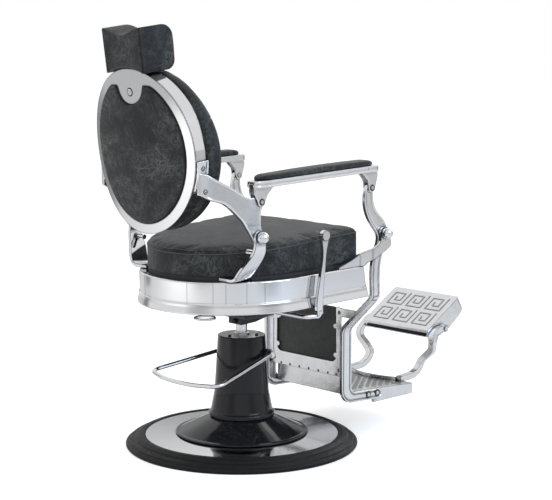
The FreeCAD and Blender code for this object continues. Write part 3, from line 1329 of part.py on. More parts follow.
def lock_pin():
    """Pivot of the swivel lock's handle, standing on the mount plate."""
    cx, cy, cz = SWIVEL_RING_CENTRE
    reach = math.hypot(cx, cy)
    floor = HUB_TOP_Z + MOUNT_PLATE_THICKNESS
    low = cz - LOCK_EYE_HEIGHT / 2 - MOVING_GAP / 2
    high = cz + LOCK_EYE_HEIGHT / 2 + MOVING_GAP / 2
    pin = turned([(0, floor), (LOCK_PIN_RADIUS + 3, floor), (LOCK_PIN_RADIUS + 3, low),
                  (LOCK_PIN_RADIUS, low), (LOCK_PIN_RADIUS, high), (LOCK_PIN_RADIUS + 2, high),
                  (LOCK_PIN_RADIUS + 2, high + 2.5, 1), (0, high + 2.5)])
    return pin.translated(vec(cx / reach * LOCK_PIN_REACH, cy / reach * LOCK_PIN_REACH, 0))


PIECES = [
    base_ring, base_plate, base_disc, column_flange, column_cover, pump_cylinder, gland, cover_screws,
    pedal_bosses, pump_block, pump_pedal, pedal_shaft, piston_rod, piston, hub_block, hub_nut,
    mount_plate, seat_frame, seat_apron, seat_board, seat_cushion, stop_pegs, pivot_pins, ball_nuts,
    back_ring, back_band, back_core, back_panel, back_cushion, headrest_socket, headrest_button,
    headrest_post, headrest_pad, lower_step, calf_frame, calf_panel, plate_arms, step_bolts,
    tread_plate, plate_pins, recline_lever, lever_bearing, swivel_lock, lock_pin]

SIDED = [side_casting, arm_frame, arm_pad, arm_pins, hanger_lever]
BRACKETS = [rear_bracket, front_bracket]


def write(name, shape):
    """Checks a piece and writes it."""
    if not shape.isValid() or shape.Volume <= 0:
        print("check", name, shape.isValid(), shape.Volume)
    shape.exportStep(os.path.join("parts", name + ".step"))


def main():
    os.makedirs("parts", exist_ok=True)
    for make in PIECES:
        write(make.__name__, make())
    for make in SIDED:
        shape = make()
        write(make.__name__ + "_left", shape)
        write(make.__name__ + "_right", mirrored(shape))
    for make in BRACKETS:
        shape = trimmed_bracket(make())
        write(make.__name__ + "_left", shape)
        write(make.__name__ + "_right", mirrored(shape))


main()
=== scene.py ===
"""Hydraulic barber chair: the finish of its metal, its upholstery and its small trim.

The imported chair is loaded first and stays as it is. Each operator dresses one piece, or one
group of like pieces, in the chair's own frame: metres, Z up, the sitter looking along -Y.
"""
import json
import math

import bmesh
import bpy
import numpy as np
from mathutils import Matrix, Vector


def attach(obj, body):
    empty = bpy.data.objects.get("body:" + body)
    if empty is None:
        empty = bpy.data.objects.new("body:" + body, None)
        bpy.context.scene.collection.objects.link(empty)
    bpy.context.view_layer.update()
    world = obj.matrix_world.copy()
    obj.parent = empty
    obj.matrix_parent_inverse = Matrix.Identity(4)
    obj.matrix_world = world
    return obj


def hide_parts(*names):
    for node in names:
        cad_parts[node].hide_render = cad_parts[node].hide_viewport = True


bl_info = {
    "name": "Barber chair dressing",
    "version": (1, 0, 0),
    "blender": (4, 5, 0),
    "location": "View3D > Sidebar > Chair",
    "description": "Gives a hydraulic barber chair its chrome, castings, leather and small trim",
    "category": "Object",
}

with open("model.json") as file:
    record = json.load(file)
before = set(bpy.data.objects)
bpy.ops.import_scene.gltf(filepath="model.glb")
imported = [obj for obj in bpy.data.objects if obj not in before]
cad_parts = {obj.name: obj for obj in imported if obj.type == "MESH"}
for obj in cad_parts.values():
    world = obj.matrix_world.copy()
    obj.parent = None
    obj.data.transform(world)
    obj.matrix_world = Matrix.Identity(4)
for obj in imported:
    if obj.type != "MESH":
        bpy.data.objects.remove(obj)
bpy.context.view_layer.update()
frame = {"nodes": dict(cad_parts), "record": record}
NODES = frame["nodes"]
MM = 0.001
SIDES = ("left", "right")
ALONG_X, ALONG_Y, ALONG_Z = np.eye(3)


# Arrays of points

def arc(centre, radius, start, end, count):
    """Points on a circle: centre + radius * (cos a, sin a), a from start to end in degrees."""
    angle = np.radians(np.linspace(start, end, count))
    return np.stack([centre[0] + radius * np.cos(angle), centre[1] + radius * np.sin(angle)], axis=1)


def evenly(points, count, closed=True):
    """The same line with points at equal distances along it."""
    if closed:
        points = np.vstack([points, points[:1]])
    steps = np.linalg.norm(np.diff(points, axis=0), axis=1)
    along = np.concatenate([[0.0], np.cumsum(steps)])
    wanted = np.linspace(0.0, along[-1], count + 1)[:-1] if closed else np.linspace(0.0, along[-1], count)
    return np.stack([np.interp(wanted, along, points[:, axis]) for axis in range(points.shape[1])], axis=1)


def unit(vectors):
    """Vectors scaled to length one."""
    return vectors / np.maximum(np.linalg.norm(vectors, axis=-1, keepdims=True), 1e-12)


def tangents(points, closed=True):
    """Direction of a line at each of its points, from its neighbours."""
    if closed:
        return unit(np.roll(points, -1, axis=0) - np.roll(points, 1, axis=0))
    return unit(np.gradient(points, axis=0))


def outward(outline):
    """Outward normal of an anticlockwise outline: its tangent turned clockwise."""
    ahead = tangents(outline)
    return np.stack([ahead[:, 1], -ahead[:, 0]], axis=1)


# Meshes

def placed(name, data):
    """A new object of the scene."""
    made = bpy.data.objects.new(name, data)
    bpy.context.scene.collection.objects.link(made)
    return made


def mesh_piece(name, points, faces, smooth=True):
    """A mesh object at the origin from an array of points and lists of faces."""
    mesh = bpy.data.meshes.new(name)
    mesh.from_pydata(points.reshape(-1, 3).tolist(), [], faces)
    mesh.update()
    mesh.polygons.foreach_set("use_smooth", [smooth] * len(mesh.polygons))
    return placed(name, mesh)


def quads(rows, columns, over=False):
    """Faces of a grid whose rows close into rings, and whose columns may close too."""
    index = np.arange(rows * columns).reshape(rows, columns)
    index = np.hstack([index, index[:, :1]])
    if over:
        index = np.vstack([index, index[:1]])
    corners = np.stack([index[:-1, :-1], index[:-1, 1:], index[1:, 1:], index[1:, :-1]], axis=-1)
    return corners.reshape(-1, 4).tolist()


def closed_form(grid):
    """Rings from one pole to the other: each end ring is closed by a fan to its mean point."""
    rows, columns = grid.shape[:2]
    faces = quads(rows, columns)
    poles = np.stack([grid[0].mean(axis=0), grid[-1].mean(axis=0)])
    low, high = rows * columns, rows * columns + 1
    first = np.arange(columns)
    following = np.roll(first, -1)
    last = first + (rows - 1) * columns
    faces += np.stack([following, first, np.full(columns, low)], axis=1).tolist()
    faces += np.stack([last, last[0] + following, np.full(columns, high)], axis=1).tolist()
    return np.vstack([grid.reshape(-1, 3), poles]), faces


def closed_grid(name, grid):
    """A mesh object of a closed form."""
    points, faces = closed_form(grid)
    return mesh_piece(name, points, faces)


def turned_grid(profile, sides):
    """A profile (radius, height) turned round the third axis: (r cos a, r sin a, h)."""
    angle = np.linspace(0, 2 * np.pi, sides, endpoint=False)
    radius, height = np.array(profile).T
    return np.stack([radius[:, None] * np.cos(angle), radius[:, None] * np.sin(angle),
                     np.repeat(height[:, None], sides, axis=1)], axis=-1)


def repeated(name, form, origins, firsts, thirds):
    """One mesh of many like forms: origin + x * first + y * (third x first) + z * third."""
    base, faces = form
    origins, firsts, thirds = np.broadcast_arrays(np.atleast_2d(origins), firsts, thirds)
    thirds = unit(thirds)
    firsts = unit(firsts - thirds * np.sum(firsts * thirds, axis=1, keepdims=True))
    seconds = np.cross(thirds, firsts)
    points = (origins[:, None] + base[None, :, :1] * firsts[:, None] + base[None, :, 1:2] * seconds[:, None]
              + base[None, :, 2:] * thirds[:, None])
    shifts = range(0, len(origins) * len(base), len(base))
    copies = [[corner + shift for corner in face] for shift in shifts for face in faces]
    return mesh_piece(name, points, copies)


STITCH_PITCH = 4.6 * MM
STITCH_LENGTH = 3.2 * MM
STITCH_RADIUS = 0.5 * MM


def stitch_form(length, radius):
    """A short thread: round rings along the first axis that close at both ends."""
    along = np.array([-1.0, -0.86, -0.4, 0.4, 0.86, 1.0]) * length / 2
    wide = np.array([0.25, 0.75, 1.0, 1.0, 0.75, 0.25]) * radius
    return closed_form(turned_grid(np.column_stack([wide, along]), 6)[..., [2, 0, 1]])


def stitches(name, piece, path):
    """Threads laid on a cover along a closed path at equal steps."""
    steps = np.linalg.norm(np.diff(path, axis=0), axis=1).sum()
    places = evenly(path, int(steps / STITCH_PITCH))
    laid = on_surface(piece, places, STITCH_RADIUS * 0.3)
    away = unit(laid - on_surface(piece, places, -2 * MM))
    return repeated(name, stitch_form(STITCH_LENGTH, STITCH_RADIUS), laid, tangents(laid), away)


def welded(node):
    """A carried-over piece as one joined surface."""
    work = bmesh.new()
    work.from_mesh(NODES[node].data)
    bmesh.ops.remove_doubles(work, verts=work.verts, dist=0.01 * MM)
    return work


RIM_SPACING = 1.5 * MM
SIDE_FACING = 0.55          # how far a face turns to the side before it counts as a side face
DEEP = 0.7 * MM             # a face that lies deeper than this gets the second finish


def rim_places(work):
    """Points along the outline of the side faces, at no more than the rim's spacing."""
    places = []
    for border in work.edges:
        sides = {abs(face.normal.x) > SIDE_FACING for face in border.link_faces}
        if len(sides) == 2:
            first, last = (np.array(corner.co) for corner in border.verts)
            count = 1 + math.ceil(border.calc_length() / RIM_SPACING)
            share = np.linspace(0, 1, count, endpoint=False)[:, None]
            places.append(first + share * (last - first))
    return np.concatenate(places)


def nearest_distance(points, places, block=4096):
    """Distance from each point to the nearest of the places, worked out in blocks."""
    found = np.zeros(len(points))
    square = np.sum(places ** 2, axis=1)
    for start in range(0, len(points), block):
        part = points[start:start + block]
        apart = np.sum(part ** 2, axis=1)[:, None] + square - 2 * part @ places.T
        found[start:start + block] = np.sqrt(np.maximum(apart.min(axis=1), 0))
    return found


def relieved(node, name, voxel, relief):
    """A copy of a cast piece whose side faces sink and rise with the distance from their rim.

    The relief gives the depth from the distance and the place. Faces that lie deep are marked
    for the second finish.
    """
    work = welded(node)
    rim = rim_places(work)
    mesh = bpy.data.meshes.new(name)
    work.to_mesh(mesh)
    work.free()
    piece = placed(name, mesh)
    voxels(piece, voxel)
    points = coordinates(piece)
    facing = np.clip((np.abs(normals(piece)) - 0.35) / 0.4, 0, 1)[:, 0]
    depth = relief(nearest_distance(points, rim), points) * facing
    points[:, 0] -= np.sign(normals(piece)[:, 0]) * depth
    put_coordinates(piece, points)
    mark_deep(piece, depth)
    return piece


def voxels(piece, size):
    """Replaces a piece's mesh by an even one of small squares."""
    remesh = piece.modifiers.new("even", "REMESH")
    remesh.mode = "VOXEL"
    remesh.voxel_size = size
    settle(piece)


def mark_deep(piece, depth):
    """Gives the second finish to the faces whose corners all lie well below the rim."""
    corners = np.zeros(len(piece.data.loops), dtype=int)
    piece.data.loops.foreach_get("vertex_index", corners)
    lowest = depth[corners.reshape(-1, 4)].min(axis=1)
    piece.data.polygons.foreach_set("material_index", (lowest > DEEP).astype(int))


def tube_grid(path, across, radius, sides, closed):
    """Rings round a path: path + radius * (cos a * across + sin a * (along x across))."""
    along = tangents(path, closed)
    first = unit(across - along * np.sum(across * along, axis=1, keepdims=True))
    second = np.cross(along, first)
    angle = np.linspace(0, 2 * np.pi, sides, endpoint=False)
    ring = first[:, None] * np.cos(angle)[None, :, None] + second[:, None] * np.sin(angle)[None, :, None]
    return path[:, None] + radius * ring


def cord_piece(name, path, across, radius, sides=8, closed=True):
    """A thin round cord along a path, such as a welt."""
    grid = tube_grid(path, across, radius, sides, closed)
    if closed:
        return mesh_piece(name, grid, quads(len(path), sides, over=True))
    return closed_grid(name, grid)


def coordinates(piece):
    """The mesh's points as an array."""
    points = np.zeros(len(piece.data.vertices) * 3)
    piece.data.vertices.foreach_get("co", points)
    return points.reshape(-1, 3)


def normals(piece):
    """The mesh's point normals as an array."""
    found = np.zeros(len(piece.data.vertices) * 3)
    piece.data.vertex_normals.foreach_get("vector", found)
    return found.reshape(-1, 3)


def put_coordinates(piece, points):
    """Moves the mesh's points to those of the array."""
    piece.data.vertices.foreach_set("co", points.ravel())
    piece.data.update()


def settle(piece):
    """Replaces a piece's mesh by what its modifiers make of it."""
    graph = bpy.context.evaluated_depsgraph_get()
    mesh = bpy.data.meshes.new_from_object(piece.evaluated_get(graph))
    piece.modifiers.clear()
    piece.data = mesh


def refine(piece):
    """Subdivides a piece's mesh once."""
    divide = piece.modifiers.new("refine", "SUBSURF")
    divide.levels = 1
    divide.render_levels = 1
    settle(piece)


def finish_piece(piece, body, slot, material=None, replaced=(), second=None):
    """Gives a piece its one or two materials, the slot's own by default, and hangs it on its body."""
    chosen = np.zeros(len(piece.data.polygons), dtype=int)
    piece.data.polygons.foreach_get("material_index", chosen)
    piece.data.materials.clear()
    piece.data.materials.append(material or finish_for(slot))
    if second:
        piece.data.materials.append(second)
        piece.data.polygons.foreach_set("material_index", chosen)
    piece.data.polygons.foreach_set("use_smooth", [True] * len(piece.data.polygons))
    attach(piece, body)
    if replaced:
        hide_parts(*replaced)
    return piece


# Upholstery

def pillow(outline, centre, low, high, edge_low, edge_high, steps=5, rings=9):
    """A cushion's grid, from the middle of its back face to the middle of its front one.

    The outline is (u, v). Near an edge of radius R the outline moves in by R(1 - cos a) while
    the level moves by R(1 - sin a). On each face the rings shrink straight towards the centre.
    low and high give the level w of the two faces as functions of u and v.
    """
    away = outward(outline)
    angle = np.linspace(0, np.pi / 2, steps)
    shares = np.linspace(1, 0, rings, endpoint=False)[1:]
    lower_edge = outline - away * edge_low
    upper_edge = outline - away * edge_high
    rows = []
    for share in shares[::-1]:
        ring = centre + (lower_edge - centre) * share
        rows.append(np.column_stack([ring, low(ring[:, 0], ring[:, 1])]))
    for a in angle[::-1]:
        ring = outline - away * edge_low * (1 - np.cos(a))
        level = low(lower_edge[:, 0], lower_edge[:, 1]) + edge_low * (1 - np.sin(a))
        rows.append(np.column_stack([ring, level]))
    side_low = rows[-1][:, 2]
    side_high = high(upper_edge[:, 0], upper_edge[:, 1]) - edge_high
    for share in np.linspace(0, 1, 6)[1:-1]:
        rows.append(np.column_stack([outline, side_low + share * (side_high - side_low)]))
    for a in angle:
        ring = outline - away * edge_high * (1 - np.cos(a))
        level = high(upper_edge[:, 0], upper_edge[:, 1]) - edge_high * (1 - np.sin(a))
        rows.append(np.column_stack([ring, level]))
    for share in shares:
        ring = centre + (upper_edge - centre) * share
        rows.append(np.column_stack([ring, high(ring[:, 0], ring[:, 1])]))
    return np.stack(rows)


def level_at(level):
    """The same level everywhere on a face."""
    return lambda u, v: np.full_like(u, level)


COVER_VOXEL = 6 * MM
AIR_PRESSURE = 4.0
AIR_FRAMES = 20


def inflate(piece, cap):
    """Fills a closed cover with air as cloth, moving no point by more than the cap."""
    voxels(piece, COVER_VOXEL)
    start = coordinates(piece)
    cloth = piece.modifiers.new("air", "CLOTH")
    cloth.settings.quality = 5
    cloth.settings.use_pressure = True
    cloth.settings.uniform_pressure_force = AIR_PRESSURE
    cloth.settings.effector_weights.gravity = 0.0
    scene = bpy.context.scene
    for number in range(1, AIR_FRAMES + 1):
        scene.frame_set(number)
    settle(piece)
    scene.frame_set(1)
    moved = coordinates(piece) - start
    length = np.linalg.norm(moved, axis=1, keepdims=True)
    put_coordinates(piece, start + moved * np.minimum(1.0, cap / np.maximum(length, 1e-9)))
    refine(piece)


def groove(piece, distance, width, depth):
    """Presses a seam into a cover: depth * exp(-(distance / width)^2) against the normal."""
    points = coordinates(piece)
    pressed = depth * np.exp(-(distance(points) / width) ** 2)
    put_coordinates(piece, points - normals(piece) * pressed[:, None])


def on_surface(piece, points, lift=0.0):
    """The nearest places on a piece's surface to some points, raised by a lift."""
    guide = mesh_piece("guide", points, [])
    wrap = guide.modifiers.new("lay", "SHRINKWRAP")
    wrap.target = piece
    wrap.wrap_method = "NEAREST_SURFACEPOINT"
    wrap.wrap_mode = "ABOVE_SURFACE"
    wrap.offset = lift
    settle(guide)
    laid = coordinates(guide)
    bpy.data.objects.remove(guide)
    return laid


# Nodes

def put(tree, socket, value):
    """Links a socket to another one, or gives it a value."""
    if isinstance(value, bpy.types.NodeSocket):
        tree.links.new(value, socket)
    else:
        socket.default_value = value


def add(tree, kind, inputs=None, **settings):
    """A node with its settings, its values and its links."""
    made = tree.nodes.new(kind)
    for name, value in settings.items():
        setattr(made, name, value)
    for name, value in (inputs or {}).items():
        put(tree, made.inputs[name], value)
    return made


def calculate(tree, operation, *values, **settings):
    """What a math node makes of its values."""
    return add(tree, "ShaderNodeMath", dict(enumerate(values)), operation=operation, **settings).outputs[0]


def spread(tree, value, start, end, low=0.0, high=1.0):
    """A value moved from one range to another and kept inside it."""
    return add(tree, "ShaderNodeMapRange", {"Value": value, "From Min": start, "From Max": end,
                                            "To Min": low, "To Max": high}).outputs["Result"]


def object_place(tree):
    """The place on the piece, which stays with the piece when it moves."""
    return add(tree, "ShaderNodeTexCoord").outputs["Object"]


def noise(tree, place, scale, detail, roughness=0.5):
    """Cloudy pattern."""
    return add(tree, "ShaderNodeTexNoise", {"Vector": place, "Scale": scale, "Detail": detail,
                                            "Roughness": roughness}).outputs["Fac"]


def bump(tree, height, distance, normal=None, strength=1.0):
    """The normal, tilted by a height, over another normal if there is one."""
    inputs = {"Height": height, "Strength": strength, "Distance": distance}
    if normal is not None:
        inputs["Normal"] = normal
    return add(tree, "ShaderNodeBump", inputs).outputs["Normal"]


def mixed(tree, share, first, second):
    """A colour between two colours."""
    made = add(tree, "ShaderNodeMix", {"Factor": share}, data_type="RGBA")
    put(tree, made.inputs[6], first)
    put(tree, made.inputs[7], second)
    return made.outputs[2]


def shared(make):
    """A node group or a finish that is made once, under its maker's name."""
    for kept in (bpy.data.node_groups, bpy.data.materials):
        if make.__name__ in kept:
            return kept[make.__name__]
    return make()


def new_group(name, values, output):
    """A node group with number inputs and one output: the group, its inputs, its output socket."""
    group = bpy.data.node_groups.new(name, "ShaderNodeTree")
    for label, default in values.items():
        socket = group.interface.new_socket(label, in_out="INPUT", socket_type="NodeSocketFloat")
        socket.default_value = default
    kind = "NodeSocketVector" if output == "Normal" else "NodeSocketFloat"
    group.interface.new_socket(output, in_out="OUTPUT", socket_type=kind)
    start = group.nodes.new("NodeGroupInput")
    end = group.nodes.new("NodeGroupOutput")
    return group, start.outputs, end.inputs[output]


def grouped(tree, make, inputs):
    """The output of a shared group placed in a tree."""
    return add(tree, "ShaderNodeGroup", inputs, node_tree=shared(make)).outputs[0]


def polish():
    """Uneven polish: large and fine noise turned into a roughness."""
    group, given, made = new_group("polish", {"Scale": 12.0, "Low": 0.05, "High": 0.12}, "Roughness")
    cloud = noise(group, object_place(group), given["Scale"], 5.0, 0.6)
    put(group, made, spread(group, cloud, 0.3, 0.7, given["Low"], given["High"]))
    return group


def crevice_shade():
    """Painted shade of joints, corners and creases: how much of the sky close by is hidden."""
    group, given, made = new_group("crevice_shade", {"Reach": 0.01}, "Mask")
    sky = add(group, "ShaderNodeAmbientOcclusion", {"Distance": given["Reach"]}, samples=8)
    put(group, made, spread(group, sky.outputs["AO"], 0.95, 0.25))
    return group


def edge():
    """Share of a sharp edge or groove close by, from how far the eased normal turns away."""
    group, given, made = new_group("edge", {"Width": 0.0015}, "Mask")
    eased = add(group, "ShaderNodeBevel", {"Radius": given["Width"]}, samples=8)
    plain = add(group, "ShaderNodeNewGeometry")
    likeness = add(group, "ShaderNodeVectorMath", {0: eased.outputs["Normal"], 1: plain.outputs["Normal"]},
                   operation="DOT_PRODUCT")
    put(group, made, spread(group, likeness.outputs["Value"], 0.992, 0.86))
    return group


def ripple():
    """A surface that isn't quite flat: eased edges, then wide noise, then fine noise as bumps."""
    group, given, made = new_group("ripple", {"Scale": 20.0, "Distance": 0.0005, "Fine": 0.0, "Edge": 0.0008},
                                   "Normal")
    place = object_place(group)
    eased = add(group, "ShaderNodeBevel", {"Radius": given["Edge"]}, samples=6)
    waves = bump(group, noise(group, place, given["Scale"], 2.0), given["Distance"], eased.outputs["Normal"])
    put(group, made, bump(group, noise(group, place, 900.0, 3.0), given["Fine"], waves))
    return group


def settled_dust():
    """Dust that lies on faces turned up: the upward share of the normal times noise."""
    group, given, made = new_group("settled_dust", {"Amount": 0.2, "Scale": 60.0}, "Mask")
    normal = add(group, "ShaderNodeNewGeometry").outputs["Normal"]
    up = add(group, "ShaderNodeSeparateXYZ", {"Vector": normal}).outputs["Z"]
    patches = spread(group, noise(group, object_place(group), given["Scale"], 6.0), 0.4, 0.75)
    both = calculate(group, "MULTIPLY", patches, spread(group, up, 0.3, 1.0))
    put(group, made, calculate(group, "MULTIPLY", both, given["Amount"]))
    return group


# darkness of the painted dark lines along sharp edges
PAINTED_LINE_STRENGTH = 0.9


def line_and_shade(tree, reach, width):
    """Mask of painted shade in joints and corners and of painted thin dark lines along sharp edges, together.
    """
    shade = grouped(tree, crevice_shade, {"Reach": reach})
    line = calculate(tree, "MULTIPLY", grouped(tree, edge, {"Width": width}), PAINTED_LINE_STRENGTH)
    return calculate(tree, "MAXIMUM", shade, line)


# Finishes

def new_material(name):
    """An empty node material with its tree and its shader."""
    material = bpy.data.materials.new(name)
    material.use_nodes = True
    tree = material.node_tree
    return material, tree, tree.nodes["Principled BSDF"]


def dress(tree, shader, colour, polishing, rippling=(), values=None):
    """Gives a shader its colour, polish (scale, low, high), ripple and other fixed values.

    The ripple is (scale, height of the waves, height of the grain, width of the eased edges).
    """
    put(tree, shader.inputs["Base Color"], colour)
    rough = grouped(tree, polish, dict(zip(("Scale", "Low", "High"), polishing)))
    put(tree, shader.inputs["Roughness"], rough)
    if rippling:
        waves = grouped(tree, ripple, dict(zip(("Scale", "Distance", "Fine", "Edge"), rippling)))
        put(tree, shader.inputs["Normal"], waves)
    for name, value in (values or {}).items():
        shader.inputs[name].default_value = value


def mottled(tree, grain, low, high):
    """A colour between two colours by noise of a grain (scale, detail, roughness)."""
    return mixed(tree, noise(tree, object_place(tree), *grain), low, high)


def polished_chrome():
    """Bright plate over a smooth bar, with painted shade in its joints, painted dark lines along its sharp
    edges and a little uneven polish.
    """
    material, tree, shader = new_material("polished_chrome")
    shade = line_and_shade(tree, 0.009, 0.0048)
    # painted shade and painted dark edge lines, towards near black
    colour = mixed(tree, shade, (0.66, 0.665, 0.68, 1), (0.04, 0.04, 0.045, 1))
    dress(tree, shader, colour, (18.0, 0.05, 0.11), (9.0, 0.00025, 0.0, 0.0009), {"Metallic": 1.0})
    return material


def satin_casting():
    """Polished light-alloy casting: softer shine, slightly wavy, with painted shade in its corners and
    painted dark lines along its sharp edges.
    """
    material, tree, shader = new_material("satin_casting")
    ground = mottled(tree, (35.0, 4.0), (0.62, 0.625, 0.635, 1), (0.74, 0.745, 0.755, 1))
    # painted shade in corners and painted dark edge lines over the mottled ground
    colour = mixed(tree, line_and_shade(tree, 0.012, 0.003), ground, (0.06, 0.06, 0.065, 1))
    dress(tree, shader, colour, (40.0, 0.14, 0.26), (28.0, 0.0006, 0.00003, 0.0012), {"Metallic": 1.0})
    return material


def grainy_metal(name, low, high):
    """Grey, grainy and dull metal between two colours, with painted shade in its corners."""
    material, tree, shader = new_material(name)
    shade = grouped(tree, crevice_shade, {"Reach": 0.005})
    # painted shade in corners and creases, towards dark grey
    colour = mixed(tree, shade, mottled(tree, (420.0, 4.0), low, high), (0.12, 0.12, 0.13, 1))
    dress(tree, shader, colour, (90.0, 0.34, 0.46), (500.0, 0.00012, 0.00008, 0.0005), {"Metallic": 0.85})
    return material


def casting_ground():
    """The unpolished floor of a casting's panels."""
    return grainy_metal("casting_ground", (0.34, 0.345, 0.355, 1), (0.6, 0.605, 0.615, 1))


def painted_groove_shade():
    """The floor of a casting's grooves, painted darker to stand for the shade in them."""
    return grainy_metal("painted_groove_shade", (0.18, 0.18, 0.185, 1), (0.36, 0.36, 0.37, 1))


def turned_steel():
    """Ground steel of the rod and the cylinder, with fine rings round its axis."""
    material, tree, shader = new_material("turned_steel")
    shader.inputs["Base Color"].default_value = (0.62, 0.62, 0.64, 1)
    shader.inputs["Metallic"].default_value = 1.0
    flat = add(tree, "ShaderNodeMapping", {"Vector": object_place(tree), "Scale": (1.0, 1.0, 120.0)})
    rings = noise(tree, flat.outputs["Vector"], 12.0, 3.0)
    put(tree, shader.inputs["Roughness"], spread(tree, rings, 0.0, 1.0, 0.12, 0.3))
    return material


def black_enamel():
    """Deep gloss black of the column and its flange."""
    material, tree, shader = new_material("black_enamel")
    dust = grouped(tree, settled_dust, {"Amount": 0.03, "Scale": 70.0})
    colour = mixed(tree, dust, (0.008, 0.008, 0.01, 1), (0.35, 0.34, 0.33, 1))
    dress(tree, shader, colour, (14.0, 0.1, 0.16), (14.0, 0.0003, 0.000004),
          {"Specular IOR Level": 0.16, "Coat Weight": 0.22, "Coat Roughness": 0.03})
    return material


def black_paint():
    """Plain black paint on small iron parts."""
    material, tree, shader = new_material("black_paint")
    colour = mottled(tree, (120.0, 4.0), (0.012, 0.012, 0.013, 1), (0.035, 0.035, 0.036, 1))
    dress(tree, shader, colour, (60.0, 0.35, 0.55))
    return material


def ring_rubber():
    """Matt black rubber with fine grain and dust on its steps."""
    material, tree, shader = new_material("ring_rubber")
    dust = grouped(tree, settled_dust, {"Amount": 0.05, "Scale": 45.0})
    colour = mixed(tree, dust, (0.006, 0.006, 0.0065, 1), (0.1, 0.1, 0.1, 1))
    dress(tree, shader, colour, (80.0, 0.42, 0.6), (300.0, 0.0002, 0.00006), {"Specular IOR Level": 0.16})
    return material


def dark_board():
    """Dark fibre board behind the calves."""
    material, tree, shader = new_material("dark_board")
    colour = mottled(tree, (90.0, 6.0, 0.7), (0.022, 0.024, 0.023, 1), (0.06, 0.065, 0.062, 1))
    dress(tree, shader, colour, (50.0, 0.5, 0.7), (200.0, 0.0002, 0.00005))
    return material


def lining_cloth():
    """Black woven lining over the seat's board."""
    material, tree, shader = new_material("lining_cloth")
    colour = mottled(tree, (700.0, 3.0), (0.008, 0.008, 0.009, 1), (0.022, 0.022, 0.024, 1))
    dress(tree, shader, colour, (30.0, 0.7, 0.9), (600.0, 0.0003, 0.0001, 0.001))
    return material


def sewing_thread():
    """Grey polyester thread of the seams."""
    material, tree, shader = new_material("sewing_thread")
    colour = mottled(tree, (300.0, 2.0), (0.1, 0.105, 0.11, 1), (0.2, 0.205, 0.21, 1))
    put(tree, shader.inputs["Base Color"], colour)
    shader.inputs["Roughness"].default_value = 0.6
    return material


def leather_bloom(tree, place, clouds):
    """Share of the pale wax: cloudy patches, stronger along two sizes of wandering streaks."""
    streaks = []
    for scale, width in ((24.0, 0.03), (58.0, 0.04)):
        veins = noise(tree, place, scale, 7.0, 0.62)
        apart = calculate(tree, "ABSOLUTE", calculate(tree, "SUBTRACT", veins, 0.5))
        streaks.append(spread(tree, apart, width, 0.0))
    patches = spread(tree, clouds, 0.38, 0.7)
    streaky = calculate(tree, "MULTIPLY", patches, calculate(tree, "MAXIMUM", *streaks))
    return calculate(tree, "MULTIPLY_ADD", patches, 0.22, streaky, use_clamp=True)


def waxed_leather():
    """Waxed pull-up leather: cloudy pale patches, fine creases, a soft waxy shine, and painted shade in its
    creases and joints.
    """
    material, tree, shader = new_material("waxed_leather")
    looks = bpy.context.scene.chair_looks
    place = object_place(tree)
    bend = add(tree, "ShaderNodeTexNoise", {"Vector": place, "Scale": 9.0, "Detail": 3.0})
    bent = add(tree, "ShaderNodeVectorMath", {0: bend.outputs["Color"], 1: (0.12, 0.12, 0.12)},
               operation="MULTIPLY")
    moved = add(tree, "ShaderNodeVectorMath", {0: place, 1: bent.outputs[0]}, operation="ADD").outputs[0]
    clouds = noise(tree, moved, 9.0, 6.0, 0.62)
    bloom = leather_bloom(tree, moved, clouds)
    cover = mixed(tree, bloom, (*looks.leather_dark, 1), (*looks.leather_light, 1))
    # painted shade: the cover darkened towards black in its creases and where it meets other parts
    shade = grouped(tree, crevice_shade, {"Reach": 0.02})
    put(tree, shader.inputs["Base Color"], mixed(tree, shade, cover, (0.003, 0.003, 0.004, 1)))
    put(tree, shader.inputs["Roughness"], spread(tree, clouds, 0.3, 0.7, 0.36, 0.52))
    cells = add(tree, "ShaderNodeTexVoronoi", {"Vector": moved, "Scale": 260.0}, feature="DISTANCE_TO_EDGE")
    folds = bump(tree, noise(tree, moved, 60.0, 5.0), 0.0012, strength=0.6)
    creases = spread(tree, cells.outputs["Distance"], 0.0, 0.12)
    put(tree, shader.inputs["Normal"], bump(tree, creases, 0.0002, folds, strength=0.5))
    shader.inputs["Specular IOR Level"].default_value = 0.3
    shader.inputs["IOR"].default_value = 1.36
    return material


FINISHES = {
    "rubber_ring": ring_rubber, "ballast": black_paint, "disc_chrome": polished_chrome,
    "black_gloss": black_enamel, "steel": turned_steel, "black_steel": black_paint,
    "chrome": polished_chrome, "cast_polished": satin_casting, "board": lining_cloth,
    "calf_board": dark_board, "leather": waxed_leather,
}


def finish_for(slot):
    """The material of a slot."""
    return shared(FINISHES[slot])


# Settings

class ChairLooks(bpy.types.PropertyGroup):
    """Colours that a user may change."""
    leather_dark: bpy.props.FloatVectorProperty(
        name="Leather", description="Ground colour of the leather", subtype="COLOR",
        default=(0.0100, 0.0112, 0.0130), min=0, max=1)
    leather_light: bpy.props.FloatVectorProperty(
        name="Leather bloom", description="Colour of the waxy patches", subtype="COLOR",
        default=(0.075, 0.083, 0.08), min=0, max=1)


class ChairStage(bpy.types.PropertyGroup):
    """Camera and light."""
    lens: bpy.props.FloatProperty(name="Lens", description="Focal length on a 36 mm sensor", default=98.27,
                                  min=10, max=400, unit="CAMERA")
    world_strength: bpy.props.FloatProperty(name="Room light", description="Strength of the white room",
                                            default=0.75, min=0, max=5)


class ChairUpholstery(bpy.types.PropertyGroup):
    """Sizes of the upholstery."""
    swell: bpy.props.FloatProperty(name="Swell", description="Furthest that a cover is blown out",
                                   default=7 * MM, min=0, max=0.03, unit="LENGTH")
    seam_depth: bpy.props.FloatProperty(name="Seam depth", description="How deep a seam is drawn in",
                                        default=2.2 * MM, min=0, max=0.01, unit="LENGTH")


